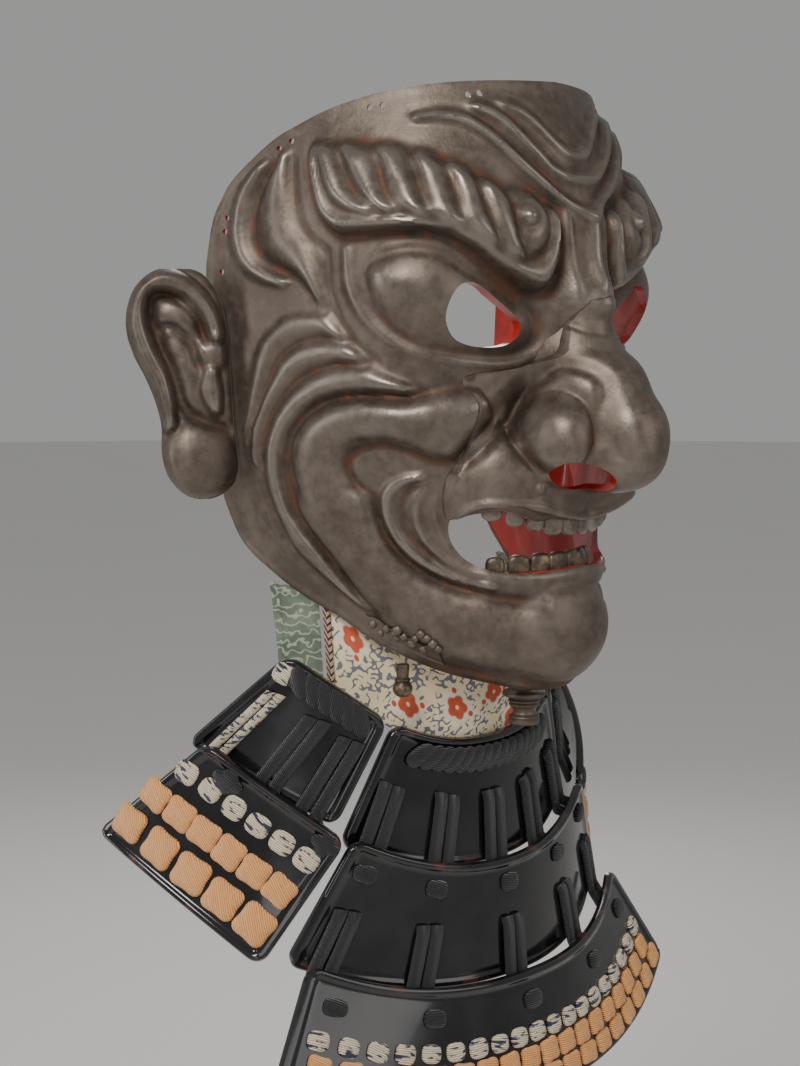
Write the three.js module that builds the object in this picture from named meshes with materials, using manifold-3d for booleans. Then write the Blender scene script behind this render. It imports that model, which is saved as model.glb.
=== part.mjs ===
// Face guard with a hanging throat guard: an iron face on a red lined shell, two ears,
// a nose and lip plate, two rows of teeth, a printed leather neck band and three tiers of
// lacquered lames hung on silk laces. Millimetres, +Z up, the face looks along -Y.
// The origin is on the upright axis of the wearer's head, level with the eye openings.
import * as THREE from 'three';
import Module from 'manifold-3d';

const wasm = await Module();
wasm.setup();
const RAD = Math.PI / 180;

// ---------------------------------------------------------------- driving dimensions
const PLATE = 1.6;            // iron plate
const GAP = 0.3;              // clear air between two pieces that meet
const LAME = 1.8;             // lacquered lame
const RIM = 1.3;              // how far a lame rim stands proud of the lame
const LACE = 2.2;             // silk lace, thickness of a pair
const LACE_W = 10.5;          // width of a pair lying side by side
const LEATHER = 1.4;
// the head shape: half width and depth of the section at each height
const HEIGHTS = [-140, -120, -90, -60, -30, 0, 30, 60, 95];
const HALF_W = [50, 58, 69, 76, 80, 82, 82, 79, 72];
const DEPTH = [116, 120, 121, 118, 116, 117, 124, 120, 108];
// how far the section is squared out towards its corners, by height
const CORNER_H = [-95, -75, -55, -35, 0, 30, 50, 70, 90];
const CORNER = [0, 2, 6, 9, 11, 11, 8, 4, 1];
const SIDE = 85.3;            // half angle of the plate, degrees from straight ahead
// upper and lower edge of the plate against that angle
const TOP_A = [0, 30, 45, 55, 60, 65, 70, 75, 80, 82.3, 84, 85.3];
const TOP_Z = [87, 85, 82, 78, 75, 71, 66.5, 59.5, 51, 44, 37, 22];
const LOW_A = [0, 13, 20, 30, 40, 48, 57, 64, 69, 74, 78, 81, 83.5, 85.3];
const LOW_Z = [-137, -136.5, -135, -132, -128.5, -124, -117, -108, -103, -97, -91, -86, -79, -66];

// ---------------------------------------------------------------- small helpers
const clamp = (x, a, b) => Math.min(b, Math.max(a, x));
const mix = (a, b, t) => a + (b - a) * t;
const mix3 = (p, q, t) => p.map((c, k) => mix(c, q[k], t));
const sub = (p, q) => p.map((c, k) => c - q[k]);
const add = (p, q, s = 1) => p.map((c, k) => c + q[k] * s);
const cross = (a, b) => [a[1] * b[2] - a[2] * b[1], a[2] * b[0] - a[0] * b[2],
  a[0] * b[1] - a[1] * b[0]];
const unit = (a) => { const l = Math.hypot(...a) || 1; return a.map((c) => c / l); };
function table(xs, ys, x) {
  x = clamp(x, xs[0], xs[xs.length - 1]);
  let i = 0;
  while (i < xs.length - 2 && x > xs[i + 1]) i++;
  const g = (k) => (k <= 0 ? (ys[1] - ys[0]) / (xs[1] - xs[0]) : k >= xs.length - 1
    ? (ys[k] - ys[k - 1]) / (xs[k] - xs[k - 1]) : (ys[k + 1] - ys[k - 1]) / (xs[k + 1] - xs[k - 1]));
  const h = xs[i + 1] - xs[i], t = (x - xs[i]) / h;
  return (2 * t ** 3 - 3 * t ** 2 + 1) * ys[i] + (t ** 3 - 2 * t ** 2 + t) * h * g(i)
    + (3 * t ** 2 - 2 * t ** 3) * ys[i + 1] + (t ** 3 - t ** 2) * h * g(i + 1);
}
// distance from (s, z) to a chain of [angle, z] points, arc length measured in mm
const arc = (deg) => 1.42 * deg + 0.0041 * deg * deg;
function chain(deg, z, pts) {
  const s = arc(deg);
  let best = 1e9;
  for (let k = 0; k + 1 < pts.length; k++) {
    const ax = arc(pts[k][0]), az = pts[k][1], bx = arc(pts[k + 1][0]), bz = pts[k + 1][1];
    const L = (bx - ax) ** 2 + (bz - az) ** 2;
    const t = clamp(((s - ax) * (bx - ax) + (z - az) * (bz - az)) / L, 0, 1);
    best = Math.min(best, Math.hypot(s - mix(ax, bx, t), z - mix(az, bz, t)));
  }
  return best;
}

// a closed skin from an outer and an inner grid of points, u and v both 0 to 1
function sheet(nu, nv, outer, inner) {
  const V = [], T = [], W = nu + 1;
  for (const f of [outer, inner]) {
    for (let j = 0; j <= nv; j++) for (let i = 0; i <= nu; i++) V.push(...f(i / nu, j / nv));
  }
  const id = (s, i, j) => (s * (nv + 1) + j) * W + i;
  const quad = (a, b, c, d) => T.push(a, b, c, a, c, d);
  for (let j = 0; j < nv; j++) {
    for (let i = 0; i < nu; i++) {
      quad(id(0, i, j), id(0, i + 1, j), id(0, i + 1, j + 1), id(0, i, j + 1));
      quad(id(1, i, j), id(1, i, j + 1), id(1, i + 1, j + 1), id(1, i + 1, j));
    }
    quad(id(0, 0, j), id(0, 0, j + 1), id(1, 0, j + 1), id(1, 0, j));
    quad(id(0, nu, j), id(1, nu, j), id(1, nu, j + 1), id(0, nu, j + 1));
  }
  for (let i = 0; i < nu; i++) {
    quad(id(0, i, 0), id(1, i, 0), id(1, i + 1, 0), id(0, i + 1, 0));
    quad(id(0, i, nv), id(0, i + 1, nv), id(1, i + 1, nv), id(1, i, nv));
  }
  return body(V, T);
}
// make the triangles face outwards, whatever order the grid was walked in
function body(V, T) {
  let vol = 0;
  const p = (k) => [V[3 * k], V[3 * k + 1], V[3 * k + 2]];
  for (let k = 0; k < T.length; k += 3) {
    const a = p(T[k]), c = cross(p(T[k + 1]), p(T[k + 2]));
    vol += a[0] * c[0] + a[1] * c[1] + a[2] * c[2];
  }
  if (vol < 0) for (let k = 0; k < T.length; k += 3) [T[k + 1], T[k + 2]] = [T[k + 2], T[k + 1]];
  const g = new THREE.BufferGeometry();
  g.setAttribute('position', new THREE.Float32BufferAttribute(V, 3));
  g.setIndex(T);
  return g;
}
function solid(g) {
  const i = g.getIndex();
  const m = new wasm.Mesh({ numProp: 3, vertProperties: new Float32Array(g.attributes.position.array),
    triVerts: new Uint32Array(i.array) });
  m.merge();
  return new wasm.Manifold(m);
}
function geometry(m) {
  const o = m.getMesh(), V = [];
  for (let k = 0; k < o.numVert; k++) for (let c = 0; c < 3; c++) V.push(o.vertProperties[k * o.numProp + c]);
  return body(V, Array.from(o.triVerts));
}
// a prism standing along Y from an outline of [x, z] points
function prism(pts, y0, y1) {
  const n = pts.length, V = [], T = [];
  for (const y of [y0, y1]) for (const [x, z] of pts) V.push(x, y, z);
  const flat = pts.map(([x, z]) => new THREE.Vector2(x, z));
  const turned = THREE.ShapeUtils.area(flat) < 0;
  for (const face of THREE.ShapeUtils.triangulateShape(flat, [])) {
    const [p, q, r] = face.map((k) => flat[k]);
    const neg = (q.x - p.x) * (r.y - p.y) - (r.x - p.x) * (q.y - p.y) < 0;
    const [a, b, c] = neg === turned ? face : [face[0], face[2], face[1]];
    T.push(a, b, c, a + n, c + n, b + n);
  }
  for (let k = 0; k < n; k++) {
    const l = (k + 1) % n;
    T.push(k, k + n, l, l, k + n, l + n);
  }
  return solid(body(V, T));
}
const mirrored = (pts) => pts.map(([x, z]) => [-x, z]).reverse();
function grow(pts, d) {       // push an outline outwards by d
  const n = pts.length;
  let a2 = 0;
  for (let k = 0; k < n; k++) a2 += pts[k][0] * pts[(k + 1) % n][1] - pts[(k + 1) % n][0] * pts[k][1];
  const s = a2 > 0 ? 1 : -1;
  return pts.map(([x, z], k) => {
    const [px, pz] = pts[(k + n - 1) % n], [qx, qz] = pts[(k + 1) % n];
    const l = Math.hypot(qx - px, qz - pz) || 1;
    return [x + s * d * (qz - pz) / l, z - s * d * (qx - px) / l];
  });
}

// ---------------------------------------------------------------- the face surface
// point of the bare head shape, angle in degrees from straight ahead (right side minus)
function head(deg, z) {
  const a = Math.abs(deg), s = Math.sign(deg) || 1;
  const c = table(CORNER_H, CORNER, z) * Math.exp(-(((a - 40) / 20) ** 2));
  return [s * (table(HEIGHTS, HALF_W, z) * Math.sin(a * RAD) + 0.74 * c),
    -(table(HEIGHTS, DEPTH, z) * Math.cos(a * RAD) + 0.67 * c), z];
}
const soft = (d, w) => Math.exp(-((d / w) ** 2));
const BROW = [[62, 46], [50, 36], [38, 35], [26, 28], [17, 20], [10, 20]];
const ROPE = [[58, 52], [44, 48], [31, 42], [20, 34]];
const ROLL = [[64, -46], [56, -40], [40, -38], [28, -38]];
const JAW = [[60, -72], [55, -90], [46, -103], [32, -110], [20, -112]];
// how far the sculpted face stands out from the bare head shape
function relief(deg, z) {
  const a = Math.abs(deg);
  let h = 5.5 * soft(chain(a, z, BROW), 7) + 4.5 * soft(chain(a, z, ROPE), 8);
  h += 4.5 * soft(chain(a, z, [[46, 12], [36, 8], [28, 4]]), 11);      // eyeball
  h += 6 * soft(chain(a, z, ROLL), 8) + 5 * soft(chain(a, z, JAW), 8);
  h += 9.5 * soft(chain(a, z, [[0, -119], [20, -119]]), 13);            // chin
  h += 5 * soft(chain(a, z, [[0, -94], [20, -96]]), 6);                 // lower lip
  h += 7 * soft(chain(a, z, [[0, 34], [0, 6]]), 9);                     // between the brows
  h += 3.5 * soft(chain(a, z, [[0, 46], [9, 50], [20, 63], [32, 72]]), 4.5);
  h += 3 * soft(chain(a, z, [[0, 62], [8, 65], [20, 77]]), 4.5);
  return h;
}
// the outer skin of the face plate: v 0 at the top rim, 1 at the turned-in lower edge
function faceSkin(u, v) {
  const deg = mix(-SIDE, SIDE, u), a = Math.abs(deg);
  const top = table(TOP_A, TOP_Z, a), low = table(LOW_A, LOW_Z, a);
  const t = clamp(v / 0.88, 0, 1), turn = clamp((v - 0.88) / 0.12, 0, 1) * 90 * RAD;
  const z = mix(top, low, t), inward = 1.5 + 21 * Math.exp(-((a / 27) ** 2));
  const p = head(deg, z), q = head(deg + 0.2, z), n = unit([q[1] - p[1], p[0] - q[0], 0]);
  const s = (n[0] * p[0] + n[1] * p[1]) > 0 ? 1 : -1;
  const h = relief(deg, z) * Math.cos(turn) - inward * (1 - Math.cos(turn));
  return [p[0] + s * n[0] * h, p[1] + s * n[1] * h, z - 4 * Math.sin(turn)];
}
function normalOf(f, u, v) {
  const e = 0.004, u0 = clamp(u - e, 0, 1), u1 = clamp(u + e, 0, 1);
  const v0 = clamp(v - e, 0, 1), v1 = clamp(v + e, 0, 1);
  return unit(cross(sub(f(u1, v), f(u0, v)), sub(f(u, v1), f(u, v0))));
}
const EYE = [[56.5, 2.5], [56, 7.5], [53, 11.8], [48.5, 13.4], [43.8, 12.3], [38.5, 8.6], [31.3, 4.2],
  [26.6, 0.8], [25.2, -2.5], [26.3, -6.3], [29.4, -8.8], [35.6, -9.7], [43.4, -9.2], [50, -6.8],
  [54.5, -2.2]];
const NOSE_SIDE = [[6.5, 7], [10, 1], [13, -6], [15.5, -12.5], [22.5, -16.8], [30.5, -18.3],
  [38, -19], [44, -21], [43, -26], [43, -33], [43, -40], [43, -47.5], [44.5, -52.6], [46.6, -57],
  [46.4, -64.5], [44.5, -72]];
const LIP_EDGE = [[42, -69.6], [39, -67.4], [34, -66.4], [28, -68.2], [20, -71], [10, -73]];
const MOUTH_SIDE = [[43.5, -74], [42.5, -80], [40, -85], [36.5, -88.8], [32, -91.4], [26, -92.6],
  [18, -92.8], [9, -92]];
function noseOutline(d) {
  const right = [...NOSE_SIDE, ...LIP_EDGE];
  return grow([[0, 8.5], ...right, [0, -73.6], ...mirrored(right)], d);
}
function mouthOutline() {     // runs up behind the lip so no strip of plate is left there
  const side = [[30, -60], [42.5, -69], ...MOUTH_SIDE];
  return [[0, -60], ...side, [0, -91.5], ...mirrored(side)];
}
function facePlate() {
  const inner = (u, v) => add(faceSkin(u, v), normalOf(faceSkin, u, v), IN * PLATE);
  const n = normalOf(faceSkin, 0.5, 0.5), IN = n[1] < 0 ? -1 : 1;
  let m = solid(sheet(36, 25, faceSkin, inner));
  for (const cut of [EYE, mirrored(EYE), noseOutline(GAP), mouthOutline()]) {
    m = m.subtract(prism(cut, -200, -40));
  }
  return geometry(m);
}

// ---------------------------------------------------------------- nose and upper lip
// a few rounded masses blended together, looked at from a point inside the head
const EYEPOINT = [0, -78, -42];
const MASSES = [               // centre, radii and squareness
  [[0, -141, -43], [16.5, 22, 20], 2.2], [[0, -118, -18], [12, 24, 29], 2],
  [[15.5, -129, -44], [15, 17, 16.5], 2.2], [[-15.5, -129, -44], [15, 17, 16.5], 2.2],
  [[0, -94, -58], [47, 38, 25], 2.6]];
function fill(p, shrink) {     // above 0 inside the blend
  let sum = 0;
  for (const [c, r, e] of MASSES) {
    const d = Math.pow(Math.abs((p[0] - c[0]) / (r[0] - shrink)) ** e
      + Math.abs((p[1] - c[1]) / (r[1] - shrink)) ** e + Math.abs((p[2] - c[2]) / (r[2] - shrink)) ** e, 1 / e);
    sum += Math.exp(14 * (1 - d));
  }
  const x = clamp(Math.abs(p[0]) / table(HEIGHTS, HALF_W, p[2]), 0, 0.98);
  const deg = Math.asin(x) / RAD;
  const q = head(deg, p[2]), face = -q[1] + relief(deg, p[2]) - shrink * 1.15;
  sum += Math.exp(14 * (face + p[1]) / 30);
  return Math.log(sum) / 14;
}
function noseSkin(shrink) {
  return (u, v) => {
    const az = mix(-82, 82, u) * RAD;
    const el = table([0, 0.5, 0.62, 0.8, 1], [52, 2, -14, -25, -42], v) * RAD;
    const d = [Math.sin(az) * Math.cos(el), -Math.cos(az) * Math.cos(el), Math.sin(el)];
    let a = 0, b = 110;
    for (let k = 0; k < 26; k++) {
      const m = (a + b) / 2;
      if (fill(add(EYEPOINT, d, m), shrink) > 0) a = m; else b = m;
    }
    return add(EYEPOINT, d, a);
  };
}
function nosePlate() {
  let m = solid(sheet(24, 24, noseSkin(0), noseSkin(PLATE + 0.2)));
  m = m.intersect(prism(noseOutline(0), -200, -60));
  for (const s of [-1, 1]) {   // nostrils, long ovals that rise outwards and back
    const cut = wasm.Manifold.sphere(1, 24).scale([12, 13, 5.2]).rotate([0, -s * 16, s * 24])
      .translate([s * 17.5, -141, -56.5]);
    m = m.subtract(cut);
  }
  return geometry(m.decompose().sort((a, b) => b.volume() - a.volume())[0]);
}
// a curved strip of teeth behind the lip: bow gives its plan, zt and zb its edges
function teeth(half, front, bow, zt, zb, n) {
  const p = (off) => (u, v) => {
    const t = 2 * u - 1, bite = 1 - 0.14 * Math.abs(Math.sin(u * n * Math.PI));
    return [half * t * (1 - off / 60), -(front - bow * t * t - off), mix(zt(t), zb(t), v * bite)];
  };
  return sheet(n * 2, 1, p(0), p(3));
}

// ---------------------------------------------------------------- ears
// outline of the right ear in its own plane: e outwards from the face, z up
const EAR = [[4, 12], [9, 17.5], [17, 19.5], [26, 18.5], [33, 13], [36.5, 5], [37, -4], [34.5, -13],
  [30, -22], [26.5, -31], [24.5, -40], [24.5, -50], [22, -59], [16, -65.5], [9, -67.5], [2.5, -64],
  [-1, -57], [-1.5, -48], [-1, -38], [-1, -28], [-1, -18], [-0.5, -8], [0.5, 2], [2, 8]];
function earHeight(e, z) {    // rolled rim, hollow, inner fold and a ball shaped lobe
  let d = 99;
  for (let k = 1; k < 12; k++) d = Math.min(d, Math.hypot(e - EAR[k][0], z - EAR[k][1]));
  const lobe = Math.hypot(e - 12, (z + 54)) / 12.5;
  let h = 2.5 + 4.5 * soft(d - 4, 4) + (lobe < 1 ? 7 * Math.sqrt(1 - lobe * lobe) : 0);
  h += 2.5 * soft(Math.hypot(e - 22, (z - 3) * 0.7), 6) + 3 * soft(Math.hypot(e - 6, z + 8), 6);
  return h;
}
function ear(side) {
  const mid = [16, -22], n = EAR.length, rings = 5, V = [], T = [];
  const place = (e, z, h) => {      // the ear leans back, away from the face plate
    const hug = 0.72 * (table(HEIGHTS, HALF_W, z) - 82) * clamp(1 - e / 15, 0, 1);
    const x = 82.6 + hug + 0.8 * e + 0.6 * h, y = -21 + 0.6 * e - 0.8 * h;
    return [side * x, y, z];
  };
  for (const face of [1, 0]) {
    V.push(...place(mid[0], mid[1], face ? earHeight(mid[0], mid[1]) : 0));
    for (let r = 1; r <= rings; r++) for (let k = 0; k < n; k++) {
      const t = Math.sqrt(r / rings);
      const e = mix(mid[0] + (EAR[k][1] < -35 ? -4 : 2) * (1 - t), EAR[k][0], t);
      const z = mix(EAR[k][1] < -35 ? -48 : EAR[k][1] > 0 ? -4 : EAR[k][1], EAR[k][1], t);
      const q = [mix(mid[0], e, t), mix(mid[1], z, t)];
      V.push(...place(q[0], q[1], face ? (r === rings ? 2.4 : earHeight(q[0], q[1])) : 0));
    }
  }
  const base = 1 + rings * n, id = (f, r, k) => (f ? 0 : base) + (r === 0 ? 0 : 1 + (r - 1) * n + (k % n));
  for (const f of [1, 0]) for (let k = 0; k < n; k++) {
    const tri = (a, b, c) => (f ? T.push(a, b, c) : T.push(a, c, b));
    tri(id(f, 0, 0), id(f, 1, k), id(f, 1, k + 1));
    for (let r = 1; r < rings; r++) {
      tri(id(f, r, k), id(f, r + 1, k), id(f, r + 1, k + 1));
      tri(id(f, r, k), id(f, r + 1, k + 1), id(f, r, k + 1));
    }
  }
  for (let k = 0; k < n; k++) {
    const a = id(1, rings, k), b = id(1, rings, k + 1), c = id(0, rings, k + 1), d = id(0, rings, k);
    T.push(a, d, b, b, d, c);
  }
  return body(V, T);
}

// ---------------------------------------------------------------- small iron pieces
function lathe(profile, at, seg = 16) {   // profile of [radius, z], closed onto the axis
  const g = new THREE.LatheGeometry(profile.map(([r, z]) => new THREE.Vector2(r, z)), seg);
  g.rotateX(Math.PI / 2);
  g.translate(...at);
  const m = solid(new THREE.BufferGeometry().copy(g));
  return geometry(m);
}
function pegPlate(side) {     // a small ornamental plate on the jaw
  const skin = (off) => (u, v) => {
    const deg = side * mix(41, 57, u), low = table(LOW_A, LOW_Z, Math.abs(deg));
    const z = mix(low + 2 + 8 * Math.sin(u * Math.PI), low - 0.5, v), p = head(deg, z);
    const q = head(deg + 0.3, z), n = unit([q[1] - p[1], p[0] - q[0], 0]);
    const s = n[0] * p[0] + n[1] * p[1] > 0 ? 1 : -1;
    const h = relief(deg, z) + off;
    return [p[0] + s * n[0] * h, p[1] + s * n[1] * h, z];
  };
  return sheet(8, 3, skin(2.2), skin(0.7));
}

// ---------------------------------------------------------------- throat lames
// a lame runs between an upper and a lower curve; t -1 to 1 across, w 0 to 1 down
const bowed = (half, front, sag, z0, rise, p) => (t) =>
  [half * t, -(front - sag * t * t), z0 + rise * Math.abs(t) ** p];
const LAME1 = [bowed(44, 81, 9, -162, 10, 2.4), bowed(64.5, 83.5, 21, -212, 13.5, 2.4)];
const LAME2 = [bowed(66, 91, 18, -209.5, 17, 2.3), bowed(90, 94.5, 35, -256, 17, 2.6)];
const LAME3 = [bowed(88, 102.5, 31, -252.5, 16.5, 3), bowed(115, 111, 31, -300, 21, 2.6)];
const SIDE1 = [[-45.6, -71.3, -151.4], [-75, -46, -125], [-64.8, -61.3, -191.5], [-100, -15, -160]];
const SIDE2 = [[-67.6, -71.2, -194.2], [-102, -30, -157], [-97, -54, -240], [-121, 14, -196]];
const ruled = (curves) => (u, v) => mix3(curves[0](2 * u - 1), curves[1](2 * u - 1), v);
// a side lame is a four cornered patch, swelled out a little, mirrored for the left side
const patch = (c, side, swell) => (u, v) => {
  const p = mix3(mix3(c[0], c[1], u), mix3(c[2], c[3], u), v);
  const n = unit(cross(sub(c[1], c[0]), sub(c[2], c[0]))), s = n[0] < 0 ? 1 : -1;
  const q = add(p, n, s * swell * (1 - (2 * u - 1) ** 2));
  return [-side * q[0], q[1], q[2]];
};
// outward direction of a lame surface: away from the neck
function outward(f, u, v) {
  const n = normalOf(f, u, v), p = f(u, v);
  return n[0] * p[0] + n[1] * (p[1] - 20) > 0 ? n : n.map((c) => -c);
}
const ROWS = [0, 0.07, 0.1, 0.5, 0.9, 0.93, 1];
function lame(f, nu, low) {   // the rim stands proud along the top, and below where low is set
  const out = (u, v) => {
    const row = Math.round(v * 6), w = ROWS[row], edge = row < 2 || (low && row > 4) ? RIM : 0;
    return add(f(u, w), outward(f, u, w), edge);
  };
  const inn = (u, v) => {
    const w = ROWS[Math.round(v * 6)];
    return add(f(u, w), outward(f, u, w), -LAME);
  };
  return sheet(nu, 6, out, inn);
}
// a pair of laces: starts on the front of one lame, ends behind the rim of the next
function lace(f, u0, v0, g, u1, v1, width = LACE_W) {
  const a = add(f(u0, v0), outward(f, u0, v0), GAP), b = add(g(u1, v1), outward(g, u1, v1), -(LAME + GAP + LACE + 1.8));
  const bot = add(f(u0, 1), outward(f, u0, 1), GAP);
  const dir = unit(sub(b, a)), n0 = outward(f, u0, v0);
  const across = unit(cross(n0, dir)), up = unit(cross(dir, across));
  const s = up[0] * n0[0] + up[1] * n0[1] > 0 ? 1 : -1;
  const knee = mix3(bot, add(bot, n0, 0.3), 1);
  const path = (v) => (v < 0.5 ? mix3(a, knee, v * 2) : mix3(knee, b, v * 2 - 1));
  const p = (h) => (u, v) => add(add(path(v), across, (u - 0.5) * width), up, s * h);
  return sheet(1, 2, p(LACE), p(0));
}

// ---------------------------------------------------------------- leather
const BAND = [(t) => [54.5 * t, -(86 - 42 * Math.abs(t) ** 2.2), -133 + 30 * Math.abs(t) ** 1.8],
  (t) => [59 * t, -(77 - 25 * t * t), -168 + 29 * Math.abs(t) ** 2.2]];
function neckBand() {
  const f = ruled(BAND);
  return sheet(18, 3, f, (u, v) => add(f(u, v), outward(f, u, v), -LEATHER));
}
function leatherTab(side) {   // plain end of the band, folded back on itself behind the lame
  const c = [[-56, -42.5, -104], [-66, -26, -100], [-60.4, -50.5, -138], [-70.5, -36, -131]];
  const f = patch(c, side, 0.6);
  return sheet(3, 3, f, (u, v) => add(f(u, v), outward(f, u, v), -1.8));
}

// ---------------------------------------------------------------- put it together
const part = new THREE.Group();
part.name = 'face_guard';
const put = (name, geo, color, roughness, metalness) => {
  geo.computeVertexNormals();
  const mesh = new THREE.Mesh(geo, new THREE.MeshStandardMaterial({ color, roughness, metalness }));
  mesh.name = name;
  part.add(mesh);
};
const IRON = [0x4a4038, 0.45, 0.8], BLACK = [0x0b0b0d, 0.15, 0.1], SILK = [0x232325, 0.9, 0];
put('face_plate', facePlate(), ...IRON);
put('nose_plate', nosePlate(), ...IRON);
put('upper_teeth', teeth(34, 123.6, 15, (t) => -65.5 + 1.5 * t * t, (t) => -77 + 7 * t * t, 10), 0x9a9284, 0.5, 0.3);
put('lower_teeth', teeth(35, 120.5, 23, (t) => -94.5 + 0.5 * t * t, (t) => -85.5 - 1 * t * t, 10), 0x6e6250, 0.5, 0.4);
put('sweat_drain', lathe([[0, 0], [8.2, 0], [8.2, -1.6], [5.8, -2.6], [5.8, -5.6], [4.4, -7.6], [6, -9.6],
  [6, -12.6], [3.6, -12.6], [3.2, -2], [0, -2]], [0, -99, -142.2]), ...IRON);
for (const [word, side] of [['right', -1], ['left', 1]]) {
  put(`ear_${word}`, ear(side), ...IRON);
  put(`peg_plate_${word}`, pegPlate(side), ...IRON);
  put(`cord_peg_${word}`, lathe([[0, 0], [2.6, 0], [2.4, -5], [3.6, -7], [3.9, -9], [3.2, -11.4], [0, -12.2]],
    [side * 44.5, -77, -129.2], 12), 0x6a5a40, 0.35, 0.9);
  put(`leather_tab_${word}`, leatherTab(side), 0x5f7460, 0.8, 0);
}
put('neck_band', neckBand(), 0xe6dcc2, 0.75, 0);
const f1 = ruled(LAME1), f2 = ruled(LAME2), f3 = ruled(LAME3);
put('lame1_centre', lame(f1, 18, false), ...BLACK);
put('lame2_centre', lame(f2, 18, false), ...BLACK);
put('lame3_centre', lame(f3, 22, true), ...BLACK);
const UPPER = [-0.85, -0.43, 0, 0.43, 0.85], LOWER = [-0.88, -0.5, 0, 0.5, 0.88];
UPPER.forEach((t, k) => {
  const u = (t + 1) / 2, w = (LOWER[k] + 1) / 2;
  put(`lace1_${k + 1}`, lace(f1, u, 0.44, f2, w, 0.16), ...SILK);
  put(`lace2_${k + 1}`, lace(f2, w, 0.5, f3, w, 0.15), ...SILK);
});
for (const [word, side] of [['right', -1], ['left', 1]]) {
  const s1 = patch(SIDE1, side, 3), s2 = patch(SIDE2, side, 4);
  put(`lame1_${word}`, lame(s1, 6, false), ...BLACK);
  put(`lame2_${word}`, lame(s2, 6, true), ...BLACK);
  [[0.19, 0.14], [0.48, 0.36], [0.83, 0.66]].forEach(([a, b], k) => {
    put(`lace_${word}_${k + 1}`, lace(s1, a, 0.3, s2, b, 0.13, k === 2 ? 8 : LACE_W), ...SILK);
  });
}
export default part;
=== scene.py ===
# %% [markdown]
# # A face guard of russet iron with its throat guard
#
# The piece covers a warrior's face from hairline to chin. Its face plate is one sheet of iron,
# hammered out from inside and chased from outside until brows, cheeks and jaw stand up in folds.
# A second plate makes the nose and the upper lip. Below hang three tiers of black lacquered
# lames on silk laces, and a band of printed leather closes the gap at the neck.
#
# Every size below is in millimetres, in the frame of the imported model: +Z up, the face looks
# along -Y, and the origin lies on the upright axis of the head, level with the eyes. One helper
# turns millimetres into Blender's metres when a mesh is made.

# %% the frame
import math
import random

import bmesh
import bpy
import numpy as np
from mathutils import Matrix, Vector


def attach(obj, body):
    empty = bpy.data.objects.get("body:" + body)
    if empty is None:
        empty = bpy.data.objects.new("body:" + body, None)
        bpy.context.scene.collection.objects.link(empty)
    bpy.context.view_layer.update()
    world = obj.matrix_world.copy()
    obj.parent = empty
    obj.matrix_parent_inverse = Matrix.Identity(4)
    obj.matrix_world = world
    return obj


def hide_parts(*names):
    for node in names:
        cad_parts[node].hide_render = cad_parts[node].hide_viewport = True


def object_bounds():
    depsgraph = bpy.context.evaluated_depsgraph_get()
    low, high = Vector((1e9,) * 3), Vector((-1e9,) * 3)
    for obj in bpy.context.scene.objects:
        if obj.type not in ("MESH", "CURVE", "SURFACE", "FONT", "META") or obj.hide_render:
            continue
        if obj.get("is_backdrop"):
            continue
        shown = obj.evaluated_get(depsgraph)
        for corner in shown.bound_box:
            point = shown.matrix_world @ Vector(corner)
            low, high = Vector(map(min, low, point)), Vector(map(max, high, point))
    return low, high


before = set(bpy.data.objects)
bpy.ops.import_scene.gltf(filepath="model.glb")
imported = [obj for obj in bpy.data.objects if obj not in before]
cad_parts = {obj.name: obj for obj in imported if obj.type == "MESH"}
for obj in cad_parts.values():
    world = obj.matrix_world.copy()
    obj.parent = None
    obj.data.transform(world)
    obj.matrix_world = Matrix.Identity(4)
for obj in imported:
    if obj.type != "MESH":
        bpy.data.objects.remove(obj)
MM = 0.001
CAD_BOX = [list(corner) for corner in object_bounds()]
print("packed box in mm:", [[round(v / MM, 1) for v in corner] for corner in CAD_BOX])

# %% [markdown]
# ## Camera, floor and light
#
# The guard is seen from its own right, a little from above, with a long lens, so its folds keep
# their true proportions. A worn thing is held up above the floor here, as a head would hold it.
# One big soft lamp high on the left draws the folds and a weaker one on the right opens the
# shadows. Two strips, one behind and one far left, give the black lacquer an edge to reflect,
# and a weak low card from behind the camera lays a soft sheen on the lames at the side.

# %% camera
camera = bpy.data.objects.new("camera", bpy.data.cameras.new("camera"))
bpy.context.scene.collection.objects.link(camera)
bpy.context.scene.camera = camera
camera.location = (-0.5360, -0.5671, 0.0)
camera.rotation_euler = (math.radians(83.5), 0.0, math.radians(-45))
camera.data.sensor_fit = "VERTICAL"
camera.data.sensor_height = 36
camera.data.lens = 63.1
camera.data.clip_end = 50

# %% floor and lamps
FLOOR_Z = -0.62


def lamp(name, place, aim, size, watts, colour=(1, 1, 1)):
    """A soft rectangular lamp at place that shines at aim."""
    light = bpy.data.lights.new(name, "AREA")
    light.shape = "RECTANGLE"
    light.size, light.size_y = size
    light.energy = watts
    light.color = colour
    holder = bpy.data.objects.new(name, light)
    bpy.context.scene.collection.objects.link(holder)
    holder.location = place
    ray = [a - p for a, p in zip(aim, place)]
    flat = math.hypot(ray[0], ray[1])
    holder.rotation_euler = (math.atan2(flat, -ray[2]), 0, math.atan2(ray[1], ray[0]) - math.pi / 2)
    return holder


lamp("key", (-1.15, -0.55, 0.95), (0, -0.05, -0.02), (0.55, 0.55), 17.5, (1, 0.97, 0.93))
lamp("front_fill", (0.25, -1.5, 0.35), (0, 0, -0.05), (0.9, 0.9), 4.5, (1, 0.98, 0.95))
lamp("back_strip", (0.9, 0.9, 0.5), (0, 0, -0.1), (0.3, 1.1), 5)
lamp("left_strip", (-1.3, 0.55, 0.1), (0, 0, -0.1), (0.25, 1.0), 4)
lamp("low_card", (-1.25, -1.05, -0.10), (-0.10, -0.03, -0.20), (0.5, 0.35), 1.1)

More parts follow.
